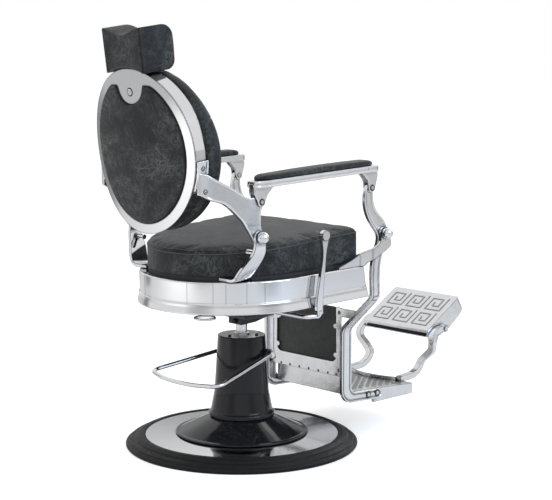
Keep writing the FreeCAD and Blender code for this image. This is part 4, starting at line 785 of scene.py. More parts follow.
# Shapes of the back, in its own upright frame

BACK_LEAN = math.radians(7.6)
BACK_CENTRE = np.array([0.0, 389.5, 900.2]) * MM
BACK_HALF_WIDTH = 213.6 * MM
BACK_HALF_HEIGHT = 232.6 * MM
BACK_WRAP = 27.6 * MM


def wrap_depth(across):
    """Depth of the back's curved rear face at a distance from its middle."""
    bend = BACK_HALF_WIDTH ** 2 / (2 * BACK_WRAP)
    return np.sqrt(np.maximum(bend ** 2 - across ** 2, 0)) - bend


def leaned(points):
    """Points from the back's upright frame (across, depth, height) to the chair's."""
    cosine, sine = math.cos(BACK_LEAN), math.sin(BACK_LEAN)
    y = points[..., 1] * cosine + points[..., 2] * sine
    z = -points[..., 1] * sine + points[..., 2] * cosine
    return np.stack([points[..., 0], y, z], axis=-1) + BACK_CENTRE


def unleaned(points):
    """Points from the chair's frame to the back's upright frame."""
    cosine, sine = math.cos(BACK_LEAN), math.sin(BACK_LEAN)
    apart = points - BACK_CENTRE
    return np.stack([apart[..., 0], apart[..., 1] * cosine - apart[..., 2] * sine,
                     apart[..., 1] * sine + apart[..., 2] * cosine], axis=-1)


def from_wrap(grid):
    """A (u, v, w) grid whose w is depth in front of the back's rear face, into the chair's frame."""
    depth = wrap_depth(grid[..., 0]) - grid[..., 2]
    return leaned(np.stack([grid[..., 0], depth, grid[..., 1]], axis=-1))


def oval_outline(half_width, half_height, lift, count):
    """Oval round a place above or below the middle."""
    angle = np.linspace(0, 2 * np.pi, 720, endpoint=False)
    points = np.stack([half_width * np.cos(angle), lift + half_height * np.sin(angle)], axis=1)
    return evenly(points, count)


# Stage

CAMERA_PLACE = (-3.292, 2.991, 1.2059)
CAMERA_AIM = (0.7174, -0.6830, -0.1374)
SENSOR_WIDTH = 36.0
FLOOR_HALF = 30.0
FLOOR_GLOW = 0.42
LAMP_AIM = (0, 0, 0.6)
# Place, size, power, tint, and whether polished surfaces show the lamp
LAMPS = [((-3.2, -0.6, 2.4), 2.2, 62.0, (0.62, 0.78, 1.0), True),
         ((1.2, 3.8, 1.9), 2.4, 95.0, (1.0, 0.98, 0.94), False),
         ((0.5, -3.2, 2.4), 2.6, 34.0, (1.0, 1.0, 1.0), True)]
FLAG_DISTANCE = 3.0
# Azimuth in degrees, width and height in metres, darkness
FLAGS = [(-43.0, 3.4, 1.3, 0.75), (98.0, 2.0, 2.4, 0.45), (178.0, 1.8, 2.4, 0.4), (246.0, 1.4, 2.0, 0.7),
         (15.0, 1.1, 2.0, 0.6)]


def aimed(way):
    """Rotation that points a camera or a lamp along a way."""
    return Vector(way).to_track_quat("-Z", "Y").to_euler()


def add_camera(scene, lens):
    """The photograph's camera."""
    data = bpy.data.cameras.new("photo_view")
    data.lens = lens
    data.sensor_width = SENSOR_WIDTH
    data.clip_end = 100.0
    camera = placed("photo_view", data)
    camera.location = CAMERA_PLACE
    camera.rotation_euler = aimed(CAMERA_AIM)
    scene.camera = camera


def add_world(scene, strength):
    """A white room: full white where it is seen, also in metal, and softer as light."""
    world = bpy.data.worlds.new("white_room")
    world.use_nodes = True
    scene.world = world
    tree = world.node_tree
    background = tree.nodes["Background"]
    rays = add(tree, "ShaderNodeLightPath").outputs
    clear = calculate(tree, "MAXIMUM", rays["Is Camera Ray"], rays["Is Transmission Ray"])
    seen = calculate(tree, "MAXIMUM", clear, rays["Is Glossy Ray"])
    background.inputs["Color"].default_value = (1, 1, 1, 1)
    put(tree, background.inputs["Strength"], spread(tree, seen, 0.0, 1.0, strength, 1.0))


def add_floor():
    """A pale floor that keeps the chair's shadow and looks white away from it."""
    corners = np.array([[-1, -1, 0], [1, -1, 0], [1, 1, 0], [-1, 1, 0]]) * FLOOR_HALF
    floor = mesh_piece("floor", corners, [[0, 1, 2, 3]], smooth=False)
    material, tree, shader = new_material("pale_floor")
    shader.inputs["Base Color"].default_value = (0.82, 0.82, 0.82, 1)
    shader.inputs["Roughness"].default_value = 0.6
    shader.inputs["Emission Color"].default_value = (1, 1, 1, 1)
    camera_ray = add(tree, "ShaderNodeLightPath").outputs["Is Camera Ray"]
    put(tree, shader.inputs["Emission Strength"], calculate(tree, "MULTIPLY", camera_ray, FLOOR_GLOW))
    floor.data.materials.append(material)


def add_lamps():
    """Large soft lamps, each aimed at the seat."""
    for number, (place, size, power, tint, glossy) in enumerate(LAMPS):
        data = bpy.data.lights.new("lamp_%d" % number, "AREA")
        data.shape = "SQUARE"
        data.size = size
        data.energy = power
        data.color = tint
        lamp = placed("lamp_%d" % number, data)
        lamp.location = place
        lamp.visible_glossy = glossy
        lamp.rotation_euler = aimed(Vector(LAMP_AIM) - Vector(place))


def flag_material(darkness):
    """Black cloth that thins out towards the flag's edges: sin(pi u) * sin(pi v)."""
    material, tree, shader = new_material("flag_cloth")
    shader.inputs["Base Color"].default_value = (0.01, 0.01, 0.01, 1)
    across = add(tree, "ShaderNodeSeparateXYZ", {"Vector": add(tree, "ShaderNodeTexCoord").outputs["UV"]})
    waves = [calculate(tree, "SINE", calculate(tree, "MULTIPLY", across.outputs[axis], math.pi))
             for axis in ("X", "Y")]
    both = calculate(tree, "MULTIPLY", *waves)
    put(tree, shader.inputs["Alpha"], calculate(tree, "MULTIPLY", both, darkness))
    return material


def add_flags():
    """Soft dark flags round the chair that only polished surfaces see."""
    for number, (azimuth, width, height, darkness) in enumerate(FLAGS):
        angle = math.radians(azimuth)
        middle = np.array([math.cos(angle), math.sin(angle), 0.0]) * FLAG_DISTANCE
        side = np.array([-math.sin(angle), math.cos(angle), 0.0]) * width / 2
        rise = np.array([0.0, 0.0, height])
        corners = np.array([middle - side - rise, middle + side - rise, middle + side + rise,
                            middle - side + rise])
        flag = mesh_piece("flag_%d" % number, corners, [[0, 1, 2, 3]], smooth=False)
        layer = flag.data.uv_layers.new(name="cloth")
        layer.data.foreach_set("uv", [0, 0, 1, 0, 1, 1, 0, 1])
        flag.data.materials.append(flag_material(darkness))
        flag.visible_camera = False
        flag.visible_diffuse = False
        flag.visible_transmission = False
        flag.visible_shadow = False


class CHAIR_OT_stage(bpy.types.Operator):
    """Floor, light and camera"""
    bl_idname = "chair.stage"
    bl_label = "Stage"

    def execute(self, context):
        setup = context.scene.chair_stage
        scene = context.scene
        scene.view_settings.view_transform = "Standard"
        add_world(scene, setup.world_strength)
        add_floor()
        add_lamps()
        add_flags()
        add_camera(scene, setup.lens)
        return {"FINISHED"}


# Metal

class CHAIR_OT_metal(bpy.types.Operator):
    """Gives every carried-over piece the finish of its slot"""
    bl_idname = "chair.metal"
    bl_label = "Metal, rubber and boards"

    def execute(self, context):
        for part in frame["record"]["subparts"]:
            node = NODES[part["node"]]
            slot = "leather" if part["node"] == "back_core" else part["material_slot"]
            node.data.materials.clear()
            node.data.materials.append(finish_for(slot))
        return {"FINISHED"}


# Castings: distances from the rim where each relief begins and ends, in millimetres

CASTING_FOOT_Y = 326.0 * MM
CASTING_SLOPE = (4.0, 5.6)
CASTING_DEPTH = 1.3 * MM
LEVER_POST_Z = 600.0 * MM        # where the leg's two grooves turn into the post's single one
LEG_GROOVE = (4.2, 5.8, 9.0, 10.8)
LEG_DEPTH = 2.2 * MM
POST_GROOVE = (5.5, 6.8, 8.2, 9.5)
POST_DEPTH = 1.4 * MM
ARM_OUTER_PLANE = 306.0 * MM
ARM_SLOPE = (3.4, 5.0)
ARM_DEPTH = 1.1 * MM


def slope(distance, places, depth):
    """Depth that grows between two distances, or grows and falls again between four."""
    levels = [0, depth] if len(places) == 2 else [0, depth, depth, 0]
    return np.interp(distance, np.array(places) * MM, levels)


def casting_relief(distance, points):
    """Polished rim round a sunk panel; the foot on the band stays flat."""
    reach = np.clip((CASTING_FOOT_Y - points[:, 1]) / (6 * MM), 0, 1)
    return slope(distance, CASTING_SLOPE, CASTING_DEPTH) * reach


def lever_relief(distance, points):
    """Two grooves and a middle rib down the leg; one fine groove up the post."""
    leg = slope(distance, LEG_GROOVE, LEG_DEPTH)
    post = slope(distance, POST_GROOVE, POST_DEPTH)
    share = np.clip((points[:, 2] - LEVER_POST_Z) / (20 * MM), 0, 1)
    return leg * (1 - share) + post * share


def arm_relief(distance, points):
    """Rim round the shallow panel of an armrest's outer side."""
    reach = np.clip((np.abs(points[:, 0]) - ARM_OUTER_PLANE) / (4 * MM), 0, 1)
    return slope(distance, ARM_SLOPE, ARM_DEPTH) * reach


class CHAIR_OT_castings(bpy.types.Operator):
    """Side arms, armrest frames and hanging legs: polished rims and ribs round sunk panels"""
    bl_idname = "chair.castings"
    bl_label = "Castings"

    def execute(self, context):
        for side in SIDES:
            # faces deep in a relief get a second finish: the matt ground of the side arms' sunk panels,
            # painted shade on the floors of the levers' grooves, and the armrests' own satin finish
            for stem, body, voxel, relief, second in (
                    ("side_casting_", "back", 1.5 * MM, casting_relief, casting_ground),
                    ("hanger_lever_", "legs", 1.3 * MM, lever_relief, painted_groove_shade),
                    ("arm_frame_", "arm_" + side, 1.6 * MM, arm_relief, satin_casting)):
                piece = relieved(stem + side, stem + "relief_" + side, voxel, relief)
                finish_piece(piece, body, "cast_polished", replaced=[stem + side], second=shared(second))
        return {"FINISHED"}


# Screws, bolts and pins: places in millimetres

FOOT_SCREWS = [(-217.5, 335.2, 864.0), (-220.5, 329.8, 800.9)]
FOOT_SCREW_WAYS = [(-0.99, -0.03, -0.15), (-0.99, 0.12, 0.0)]
SILL_SCREW_X = (-132.0, -96.0, -54.0, -12.0, 30.0, 72.0, 112.0)
SILL_SCREW_Z = 190.0
EAR_SCREWS = [(-143.4, 203.8), (143.4, 203.8), (-143.4, 384.0), (143.4, 384.0)]
FRAME_REAR_Y = -273.0
ARM_FORK_PLANE = 302.0
ARM_PINS = [(197.0, 770.0), (-245.0, 780.0)]
LEG_OUTER_PLANE = 174.0
STEP_BOLT_YS = (-374.0, -414.0)
STEP_BOLT_Z = 117.0
BUTTON_HEIGHT = 168.0 * MM
BUTTON_REACH = 14 * MM
# inner and outer radii of the dark rings that paint the shade round pins, bolts and the button
PIN_RING = (7.2 * MM, 10.0 * MM)
BOLT_RING = (8.0 * MM, 11.5 * MM)
BUTTON_RING = (9.8 * MM, 12.4 * MM)
RING_HEIGHT = 0.3 * MM
SUNK = 0.5 * MM                  # how far a laid-on form reaches into what carries it


def screw_head(radius, height):
    """Domed head with a hexagonal socket."""
    profile = [(0.0, height * 0.35), (radius * 0.42, height * 0.35), (radius * 0.46, height * 0.95),
               (radius * 0.62, height), (radius * 0.9, height * 0.7), (radius, height * 0.25),
               (radius, -SUNK), (0.0, -SUNK)]
    return closed_form(turned_grid(profile, 24))


def ring_form(inner, outer, height):
    """Flat ring, laid round a head or pin as painted shade."""
    profile = [(inner, 0.0), (inner, height), (outer, height), (outer, -SUNK), (inner, -SUNK)]
    return turned_grid(profile, 32).reshape(-1, 3), quads(len(profile), 32, over=True)


def dark_rings(name, body, places, across, ways, radii, height=RING_HEIGHT):
    """Painted shade in the gaps round screws, bolts or pins: dark rings at places in metres."""
    rings = repeated(name, ring_form(*radii, height), places, across, ways)
    finish_piece(rings, body, "black_steel")


def fit_screws(name, body, places, ways, radius):
    """Screws, each with a dark ring of painted shade round its head."""
    places = np.array(places) * MM
    ways = np.array(ways, dtype=float)
    across = np.cross(ways, [0.13, 0.21, 0.97])
    heads = repeated(name, screw_head(radius, radius * 0.5), places, across, ways)
    finish_piece(heads, body, "chrome")
    dark_rings(name + "_rings", body, places, across, ways, (radius * 1.02, radius * 1.45), 0.35 * MM)


def mirrored(places):
    """Places or directions on both sides of the chair."""
    return [(side * x, y, z) for side in (1, -1) for x, y, z in places]


def button_ring():
    """Painted shade in the gap round the headrest's button: a dark ring laid on the tongue."""
    turn = np.linspace(0, 2 * np.pi, 16, endpoint=False)
    circle = np.stack([BUTTON_REACH * np.cos(turn), np.full(16, 3 * MM),
                       BUTTON_HEIGHT + BUTTON_REACH * np.sin(turn)], axis=-1)
    place = on_surface(NODES["back_ring"], leaned(circle)).mean(axis=0)
    way = leaned(np.array([[0.0, 1.0, 0.0]])) - BACK_CENTRE
    dark_rings("button_ring", "back", place, ALONG_X, way, BUTTON_RING)


class CHAIR_OT_screws(bpy.types.Operator):
    """Small screws of the side arms' feet and of the calf frame; dark rings of painted shade round bolts and
    pins
    """
    bl_idname = "chair.screws"
    bl_label = "Screws"

    def execute(self, context):
        fit_screws("foot_screws", "back", mirrored(FOOT_SCREWS), mirrored(FOOT_SCREW_WAYS), 5.0 * MM)
        sill = [(x, FRAME_REAR_Y, SILL_SCREW_Z) for x in SILL_SCREW_X]
        fit_screws("sill_screws", "legs", sill, [(0, 1, 0)] * len(sill), 2.6 * MM)
        # dark rings paint the shade round the armrests' pins and the step's bolts
        for side, sign in (("left", 1), ("right", -1)):
            pins = np.array([(sign * ARM_FORK_PLANE, y, z) for y, z in ARM_PINS]) * MM
            dark_rings("arm_pin_rings_" + side, "arm_" + side, pins, ALONG_Y, sign * ALONG_X[None], PIN_RING)
        bolts = np.array([(sign * LEG_OUTER_PLANE, y, STEP_BOLT_Z) for sign in (-1, 1) for y in STEP_BOLT_YS])
        ways = np.sign(bolts) * ALONG_X
        dark_rings("bolt_rings", "legs", bolts * MM, ALONG_Y, ways, BOLT_RING)
        button_ring()
        ears = [(x, FRAME_REAR_Y, z) for x, z in EAR_SCREWS]
        fit_screws("ear_screws", "legs", ears, [(0, 1, 0)] * len(ears), 4.2 * MM)
        return {"FINISHED"}


# Footrest: places and sizes in millimetres

LIP_PLACE = (-694.0, 256.0)      # centre of the strip under the plate's rear edge, (y, z)
LIP_HALF = 128.0
LIP_RADIUS = 5.0 * MM
DECK_SLOT_XS = np.arange(-132.0, 133.0, 24.0)
DECK_SLOT_YS = np.arange(-352.0, -560.0, -15.0)
DECK_STAGGER = 12.0
DECK_REAR = (-308.0, 135.0)      # a place on the deck, (y, z)
DECK_FALL = 0.063                # how steeply the deck falls towards the front
SLOT_LENGTH = 18.0 * MM
SLOT_WIDTH = 6.5 * MM
SLOT_HEIGHT = 0.25 * MM


def deck_place(row, x):
    """Place of a slot on the sloping deck; every second row is staggered."""
    y = DECK_SLOT_YS[row]
    return x + DECK_STAGGER * (row % 2), y, DECK_REAR[1] + (y - DECK_REAR[0]) * DECK_FALL


def slot_form(length, width):
    """Flat round-ended patch: two half circles and the straight sides between them."""
    turn = np.linspace(-np.pi / 2, np.pi / 2, 8)
    right = np.stack([(length - width) / 2 + width / 2 * np.cos(turn), width / 2 * np.sin(turn)], axis=1)
    outline = np.vstack([right, -right])
    low = np.column_stack([outline, np.full(len(outline), -SUNK)])
    high = np.column_stack([outline, np.full(len(outline), SLOT_HEIGHT)])
    return closed_form(np.stack([low, high]))


class CHAIR_OT_footrest_trim(bpy.types.Operator):
    """Black patches that paint the shade seen through the step deck's pierced slots, and a dark strip,
    finished as rubber, under the plate's rear edge
    """
    bl_idname = "chair.footrest_trim"
    bl_label = "Footrest trim"

    def execute(self, context):
        # a dark round strip with the rubber ring's finish along the underside of the plate's rear edge
        ends = np.array([[-LIP_HALF, *LIP_PLACE], [LIP_HALF, *LIP_PLACE]]) * MM
        path = ends[0] + np.linspace(0, 1, 12)[:, None] * (ends[1] - ends[0])
        strip = cord_piece("plate_strip", path, ALONG_Y, LIP_RADIUS, 16, closed=False)
        finish_piece(strip, "upper_plate", "rubber_ring")
        # black patches paint the shade seen through the deck's pierced slots
        places = np.array([deck_place(row, x) for row in range(len(DECK_SLOT_YS))
                           for x in DECK_SLOT_XS[:len(DECK_SLOT_XS) - row % 2]])
        slots = repeated("deck_slot_shade", slot_form(SLOT_LENGTH, SLOT_WIDTH), places * MM, ALONG_X,
                         np.array([[0.0, -DECK_FALL, 1.0]]))
        finish_piece(slots, "legs", "black_steel")
        return {"FINISHED"}


# Seat

SEAT_HALF = 264.0 * MM
SEAT_ARC_Y = 28.0 * MM
SEAT_FRONT_Y = -244.0 * MM
SEAT_BOTTOM = 547.0 * MM
SEAT_TOP = 663.0 * MM
SEAT_HIGH_Y = -342.0 * MM
SEAT_CROWN = 6.0                 # radius of the crowned top, in metres
SEAT_CORNER = 18.0 * MM
SEAT_TILT = math.radians(1.1)
SEAT_TILT_Z = 543.0 * MM
SEAT_SLACK = 1 * MM
SEAT_LOW_EDGE = 4 * MM
SEAT_TOP_EDGE = 17 * MM
SEAT_SEAM_DROP = 13 * MM
SWELL_ROOM = 3 * MM              # how much lower a face is made than it ends, blown out
APRON_SEAM_ANGLES = (70.4, 54.3, 46.8, 34.8, 24.2)      # from the sitter's right, rearwards
APRON_RADIUS = 281.0 * MM
APRON_LOW = 455.0 * MM
APRON_HIGH = 540.0 * MM


def apron_seam(place):
    """Path of an upright joint line of the skirt through a place on its outline."""
    height = np.linspace(APRON_LOW, APRON_HIGH, 24)
    path = np.stack([np.full(24, place[0]), np.full(24, place[1]), height], axis=-1)
    return on_surface(NODES["seat_apron"], path, 0.05 * MM)


class CHAIR_OT_apron_lines(bpy.types.Operator):
    """Fine upright joint lines round the skirt"""
    bl_idname = "chair.apron_lines"
    bl_label = "Apron lines"

    def execute(self, context):
        places = [(side * APRON_RADIUS * math.cos(angle), SEAT_ARC_Y + APRON_RADIUS * math.sin(angle))
                  for side in (-1, 1) for angle in np.radians(APRON_SEAM_ANGLES)]
        for number, place in enumerate(places):
            line = cord_piece("apron_line_%02d" % number, apron_seam(place), ALONG_X + ALONG_Y, 0.4 * MM,
                              6, closed=False)
            finish_piece(line, "seat", "black_steel")
        return {"FINISHED"}


def seat_outline(inset, count):
    """Horseshoe: round rear, straight sides, square front with small corners."""
    half = SEAT_HALF - inset
    front = SEAT_FRONT_Y + inset
    corner = SEAT_CORNER
    points = np.vstack([
        arc((0, SEAT_ARC_Y), half, 0, 180, 120),
        arc((-half + corner, front + corner), corner, 180, 270, 12),
        arc((half - corner, front + corner), corner, 270, 360, 12)])
    return evenly(points, count)


def seat_top(u, v):
    """Height of the crowned top: a large ball's surface, highest in front of the seat."""
    return SEAT_TOP - (u ** 2 + (v - SEAT_HIGH_Y) ** 2) / (2 * SEAT_CROWN)


def seat_tilted(points):
    """The seat's slight backward fall."""
    cosine, sine = math.cos(SEAT_TILT), math.sin(SEAT_TILT)
    y = points[..., 1]
    z = points[..., 2] - SEAT_TILT_Z
    return np.stack([points[..., 0], y * cosine + z * sine, SEAT_TILT_Z - y * sine + z * cosine], axis=-1)


def seat_edge_distance(points):
    """Distance in from the horseshoe's outline, seen from above."""
    x, y = np.abs(points[:, 0]), points[:, 1]
    rear = SEAT_HALF - np.hypot(x, y - SEAT_ARC_Y)
    front = np.minimum(SEAT_HALF - x, y - SEAT_FRONT_Y)
    return np.where(y > SEAT_ARC_Y, rear, front)


def seat_line(inset, drop):
    """Closed path round the seat, in from its side and below its top."""
    flat = seat_outline(inset, 700)
    height = seat_top(flat[:, 0], flat[:, 1]) - drop
    return seat_tilted(np.column_stack([flat, height]))


def seat_seam_distance(points):
    """Distance from the seam that runs round the seat below its top edge."""
    top = seat_top(points[:, 0], points[:, 1]) - points[:, 1] * math.sin(SEAT_TILT)
    return np.hypot(seat_edge_distance(points) - 1 * MM, top - points[:, 2] - SEAT_SEAM_DROP)


def keep_above(piece, level):
    """Flattens the underside that lies on the tilted board."""
    points = coordinates(piece)
    floor = level - points[:, 1] * math.sin(SEAT_TILT)
    points[:, 2] = np.maximum(points[:, 2], floor)
    put_coordinates(piece, points)


def seat_cushion(sizes):
    """Box cushion with a small edge below and a soft one above, blown out and seamed."""
    grid = pillow(seat_outline(SEAT_SLACK, 260), np.array([0.0, 0.0]), level_at(SEAT_BOTTOM),
                  lambda u, v: seat_top(u, v) - SWELL_ROOM, SEAT_LOW_EDGE, SEAT_TOP_EDGE)
    cushion = closed_grid("seat_cushion_cover", seat_tilted(grid))
    inflate(cushion, sizes.swell)
    keep_above(cushion, SEAT_BOTTOM)
    groove(cushion, seat_seam_distance, 2.2 * MM, sizes.seam_depth)
    return cushion


class CHAIR_OT_seat_cushion(bpy.types.Operator):
    """Box cushion of the seat: straight sides and front, round rear, gently crowned top"""
    bl_idname = "chair.seat_cushion"
    bl_label = "Seat cushion"

    def execute(self, context):
        cushion = seat_cushion(context.scene.chair_upholstery)
        finish_piece(cushion, "seat", "leather", replaced=["seat_cushion"])
        path = on_surface(cushion, seat_line(0.0, 12 * MM), 0.6 * MM)
        welt = cord_piece("seat_welt", path, ALONG_Z, 1.7 * MM)
        finish_piece(welt, "seat", "leather", finish_for("calf_board"))
        thread = stitches("seat_stitches", cushion, seat_line(13 * MM, 0.0))
        finish_piece(thread, "seat", "leather", shared(sewing_thread))
        return {"FINISHED"}


# Back

CUSHION_NEAR = 44.3 * MM
CUSHION_FRONT = 100.0 * MM
CUSHION_HALF_WIDTH = 233.0 * MM
CUSHION_HALF_HEIGHT = 237.0 * MM
CUSHION_LIFT = -4.0 * MM
CUSHION_SLACK = 0.5 * MM
CUSHION_REAR_EDGE = 10 * MM
CUSHION_FRONT_EDGE = 24 * MM
CROSS_SEAMS = (24.0, 156.0, 270.0)      # angles of the seams that cross the rim, from the sitter's left
RIM_SHARE = 0.86                        # share of the half width beyond which those seams are drawn


def cross_seam_distance(points, angle):
    """Distance along the rim from a seam that runs from the front to the rear of the cushion."""
    flat = unleaned(points)
    turn = np.degrees(np.arctan2(flat[:, 2] - CUSHION_LIFT, flat[:, 0]))
    apart = np.abs((turn - angle + 180) % 360 - 180)
    rim = np.hypot(flat[:, 0], flat[:, 2] - CUSHION_LIFT)
    return np.where(rim > RIM_SHARE * CUSHION_HALF_WIDTH, np.radians(apart) * rim, 1.0)


def back_cushion(sizes):
    """Oval cushion whose front edge is much softer than its rear one."""
    outline = oval_outline(CUSHION_HALF_WIDTH - CUSHION_SLACK, CUSHION_HALF_HEIGHT - CUSHION_SLACK,
                           CUSHION_LIFT, 240)
    grid = pillow(outline, np.array([0.0, CUSHION_LIFT]), level_at(CUSHION_NEAR),
                  level_at(CUSHION_FRONT - SWELL_ROOM), CUSHION_REAR_EDGE, CUSHION_FRONT_EDGE, steps=7)
    cushion = closed_grid("back_cushion_cover", from_wrap(grid)[:, ::-1])
    inflate(cushion, sizes.swell)
    for angle in CROSS_SEAMS:
        groove(cushion, lambda points: cross_seam_distance(points, angle), 2.0 * MM, sizes.seam_depth)
    return cushion


class CHAIR_OT_back_cushion(bpy.types.Operator):
    """Oval front cushion of the back: soft rim, crowned face"""
    bl_idname = "chair.back_cushion"
    bl_label = "Back cushion"

    def execute(self, context):
        cushion = back_cushion(context.scene.chair_upholstery)
        finish_piece(cushion, "back", "leather", replaced=["back_cushion"])
        return {"FINISHED"}


PANEL_HALF_WIDTH = 185.0 * MM
PANEL_HALF_HEIGHT = 206.0 * MM
PANEL_LIFT = 3.0 * MM
PANEL_TOP = 186.0 * MM
TONGUE_RADIUS = 56.0 * MM
TONGUE_HEIGHT = 190.0 * MM
PANEL_CROWN = 7.0 * MM
PANEL_INSET = 1.5 * MM
PANEL_SHARPNESS = 320.0          # of the panel's corners, per metre


def panel_outline(inset, count):
    """Oval with a round tongue cut from its top.

    From a centre below the tongue the reach in each direction is a soft minimum of the reaches
    of the oval, the flat top and the tongue's circle: -ln(sum(exp(-k r))) / k.
    """
    angle = np.linspace(0, 2 * np.pi, 1440, endpoint=False)
    across, up = np.cos(angle), np.sin(angle)
    oval = 1 / np.hypot(across / (PANEL_HALF_WIDTH - inset), up / (PANEL_HALF_HEIGHT - inset))
    far = np.full_like(angle, 1.0)
    top = np.where(up > 0.05, (PANEL_TOP - inset - PANEL_LIFT) / np.maximum(up, 0.05), far)
    rise = TONGUE_HEIGHT - PANEL_LIFT
    inside = (TONGUE_RADIUS + inset) ** 2 - (rise * across) ** 2
    tongue = np.where((inside > 0) & (up > 0), rise * up - np.sqrt(np.maximum(inside, 0)), far)
    together = sum(np.exp(-PANEL_SHARPNESS * reach) for reach in (oval, top, tongue))
    reach = -np.log(together) / PANEL_SHARPNESS
    return evenly(np.stack([reach * across, PANEL_LIFT + reach * up], axis=1), count)


def back_panel():
    """Padded panel, a little proud of the ring and crowned to the rear."""
    grid = pillow(panel_outline(PANEL_INSET, 320), np.array([0.0, PANEL_LIFT]), level_at(-PANEL_CROWN),
                  level_at(2.5 * MM), 5 * MM, 1 * MM, steps=6, rings=12)
    return closed_grid("back_panel_cover", from_wrap(grid)[:, ::-1])


class CHAIR_OT_back_panel(bpy.types.Operator):
    """Padded rear panel that fills the ring's opening under the tongue"""
    bl_idname = "chair.back_panel"
    bl_label = "Rear panel"

    def execute(self, context):
        panel = back_panel()
        finish_piece(panel, "back", "leather", replaced=["back_panel"])
        # a black cord round the panel paints the shade in the gap between the panel and the ring
        outline = panel_outline(-0.6 * MM, 400)
        path = from_wrap(np.column_stack([outline, np.full(len(outline), 0.4 * MM)]))
        gap = cord_piece("panel_gap_shade", path, ALONG_Y, 1.5 * MM)
        finish_piece(gap, "back", "black_steel")
        return {"FINISHED"}


# Headrest, in the back's upright frame

HEADREST_HALF = 86.0 * MM
HEADREST_SEAM = 79.5 * MM        # where the end panels are sewn on
HEADREST_WAIST = 19.0 * MM       # how far the top dips between the ends
HEADREST_LOW = 220.0 * MM
HEADREST_HIGH = 345.0 * MM
HEADREST_REAR = 9.0 * MM
HEADREST_FRONT = -107.0 * MM
HEADREST_CENTRE = (-48.0 * MM, 283.0 * MM)
HEADREST_GAP = 4 * MM            # between the underside and the back's oval
REAR_CORNER = 4 * MM
UPPER_CORNER = 36 * MM
LOWER_CORNER = 28 * MM
DOME_SCALES = (0.97, 0.93, 0.87, 0.78, 0.66, 0.5, 0.34, 0.18)


def headrest_outline(inset, count):
    """D shape of the ends, in (depth, height): flat rear, long curve over the front."""
    rear = HEADREST_REAR - inset - REAR_CORNER
    front = HEADREST_FRONT + inset
    low = HEADREST_LOW + inset
    high = HEADREST_HIGH - inset
    points = np.vstack([
        arc((rear, high - REAR_CORNER), REAR_CORNER, 0, 90, 8),
        arc((front + UPPER_CORNER, high - UPPER_CORNER), UPPER_CORNER, 90, 172, 20),
        [[front, (low + high) / 2]],
        arc((front + 30 * MM, low + LOWER_CORNER), LOWER_CORNER, 190, 270, 20),
        arc((rear, low + REAR_CORNER), REAR_CORNER, 270, 360, 8)])
    return evenly(points, count)


def headrest_sections():
    """Sections across the headrest: (place, inset, scale). Body, seam, then a domed end panel."""
    body = [(place * HEADREST_SEAM, 0.0, 1.0) for place in np.linspace(0, 0.93, 18)]
    seam = [(HEADREST_SEAM + shift * MM, inset * MM, 1.0)
            for shift, inset in ((-1.6, 0.3), (-0.6, 1.8), (0.0, 2.8), (0.6, 1.6), (2.0, 0.4))]
    reach = HEADREST_HALF - HEADREST_SEAM - 2 * MM
    dome = [(HEADREST_SEAM + 2 * MM + reach * (1 - scale ** 3), 0.4 * MM, scale) for scale in DOME_SCALES]
    half = body + seam + dome
    return [(-place, inset, scale) for place, inset, scale in half[:0:-1]] + half


def headrest_arch(across):
    """Rise of the underside over the back's oval: b sqrt(1 - (x / a)^2) - low, and not below 0."""
    oval = (BACK_HALF_HEIGHT + HEADREST_GAP) * np.sqrt(1 - (across / BACK_HALF_WIDTH) ** 2)
    return np.maximum(oval - HEADREST_LOW, 0)


def headrest_waist(share):
    """Dip of the top by a cosine, from nothing at the seams to the waist in the middle."""
    return HEADREST_WAIST * 0.5 * (1 + np.cos(np.pi * share))


def headrest():
    """The end's D outline swept across, with its waist above and its arch below."""
    places, insets, scales = np.array(headrest_sections()).T
    centre = np.array(HEADREST_CENTRE)
    rings = np.stack([centre + (headrest_outline(inset, 200) - centre) * scale
                      for inset, scale in zip(insets, scales)])
    share = np.clip(np.abs(places) / HEADREST_SEAM, 0, 1)[:, None]
    upper = np.clip((rings[..., 1] - centre[1]) / (HEADREST_HIGH - centre[1]), 0, 1)
    lower = np.clip((centre[1] - rings[..., 1]) / (centre[1] - HEADREST_LOW), 0, 1)
    dip = headrest_waist(share) * upper - headrest_arch(places)[:, None] * lower
    across = np.repeat(places[:, None], rings.shape[1], axis=1)
    points = leaned(np.stack([across, rings[..., 0], rings[..., 1] - dip], axis=-1))
    return closed_grid("headrest_cover", points)


def headrest_edge(upper):
    """Path of the sewn edge between the rear face and the top or the bottom."""
    across = np.linspace(-1, 1, 60) * (HEADREST_SEAM - 1 * MM)
    if upper:
        height = HEADREST_HIGH - 1.4 * MM - headrest_waist(across / HEADREST_SEAM)
    else:
        height = HEADREST_LOW + 1.4 * MM + headrest_arch(across)
    return leaned(np.stack([across, np.full(60, HEADREST_REAR - 0.6 * MM), height], axis=-1))


class CHAIR_OT_headrest(bpy.types.Operator):
    """Saddle-shaped headrest with D-shaped ends"""
    bl_idname = "chair.headrest"
    bl_label = "Headrest"

    def execute(self, context):
        pad = headrest()
        finish_piece(pad, "headrest", "leather", replaced=["headrest_pad"])
        for name in ("top", "bottom"):
            path = headrest_edge(name == "top")
            welt = cord_piece("headrest_welt_" + name, path, ALONG_Y, 1.3 * MM, closed=False)
            finish_piece(welt, "headrest", "leather", finish_for("calf_board"))
        return {"FINISHED"}


# Armrests

ARM_X = 290.0 * MM
ARM_REAR_TIP = np.array([206.0, 828.8]) * MM
ARM_FRONT_TIP = np.array([-244.0, 847.1]) * MM
PAD_HALF = 26.0 * MM
PAD_HEIGHT = 18.5 * MM
PAD_END_SHARE = 0.07             # how much of the pad's length each rounded end takes
PAD_LIFT = 0.4 * MM


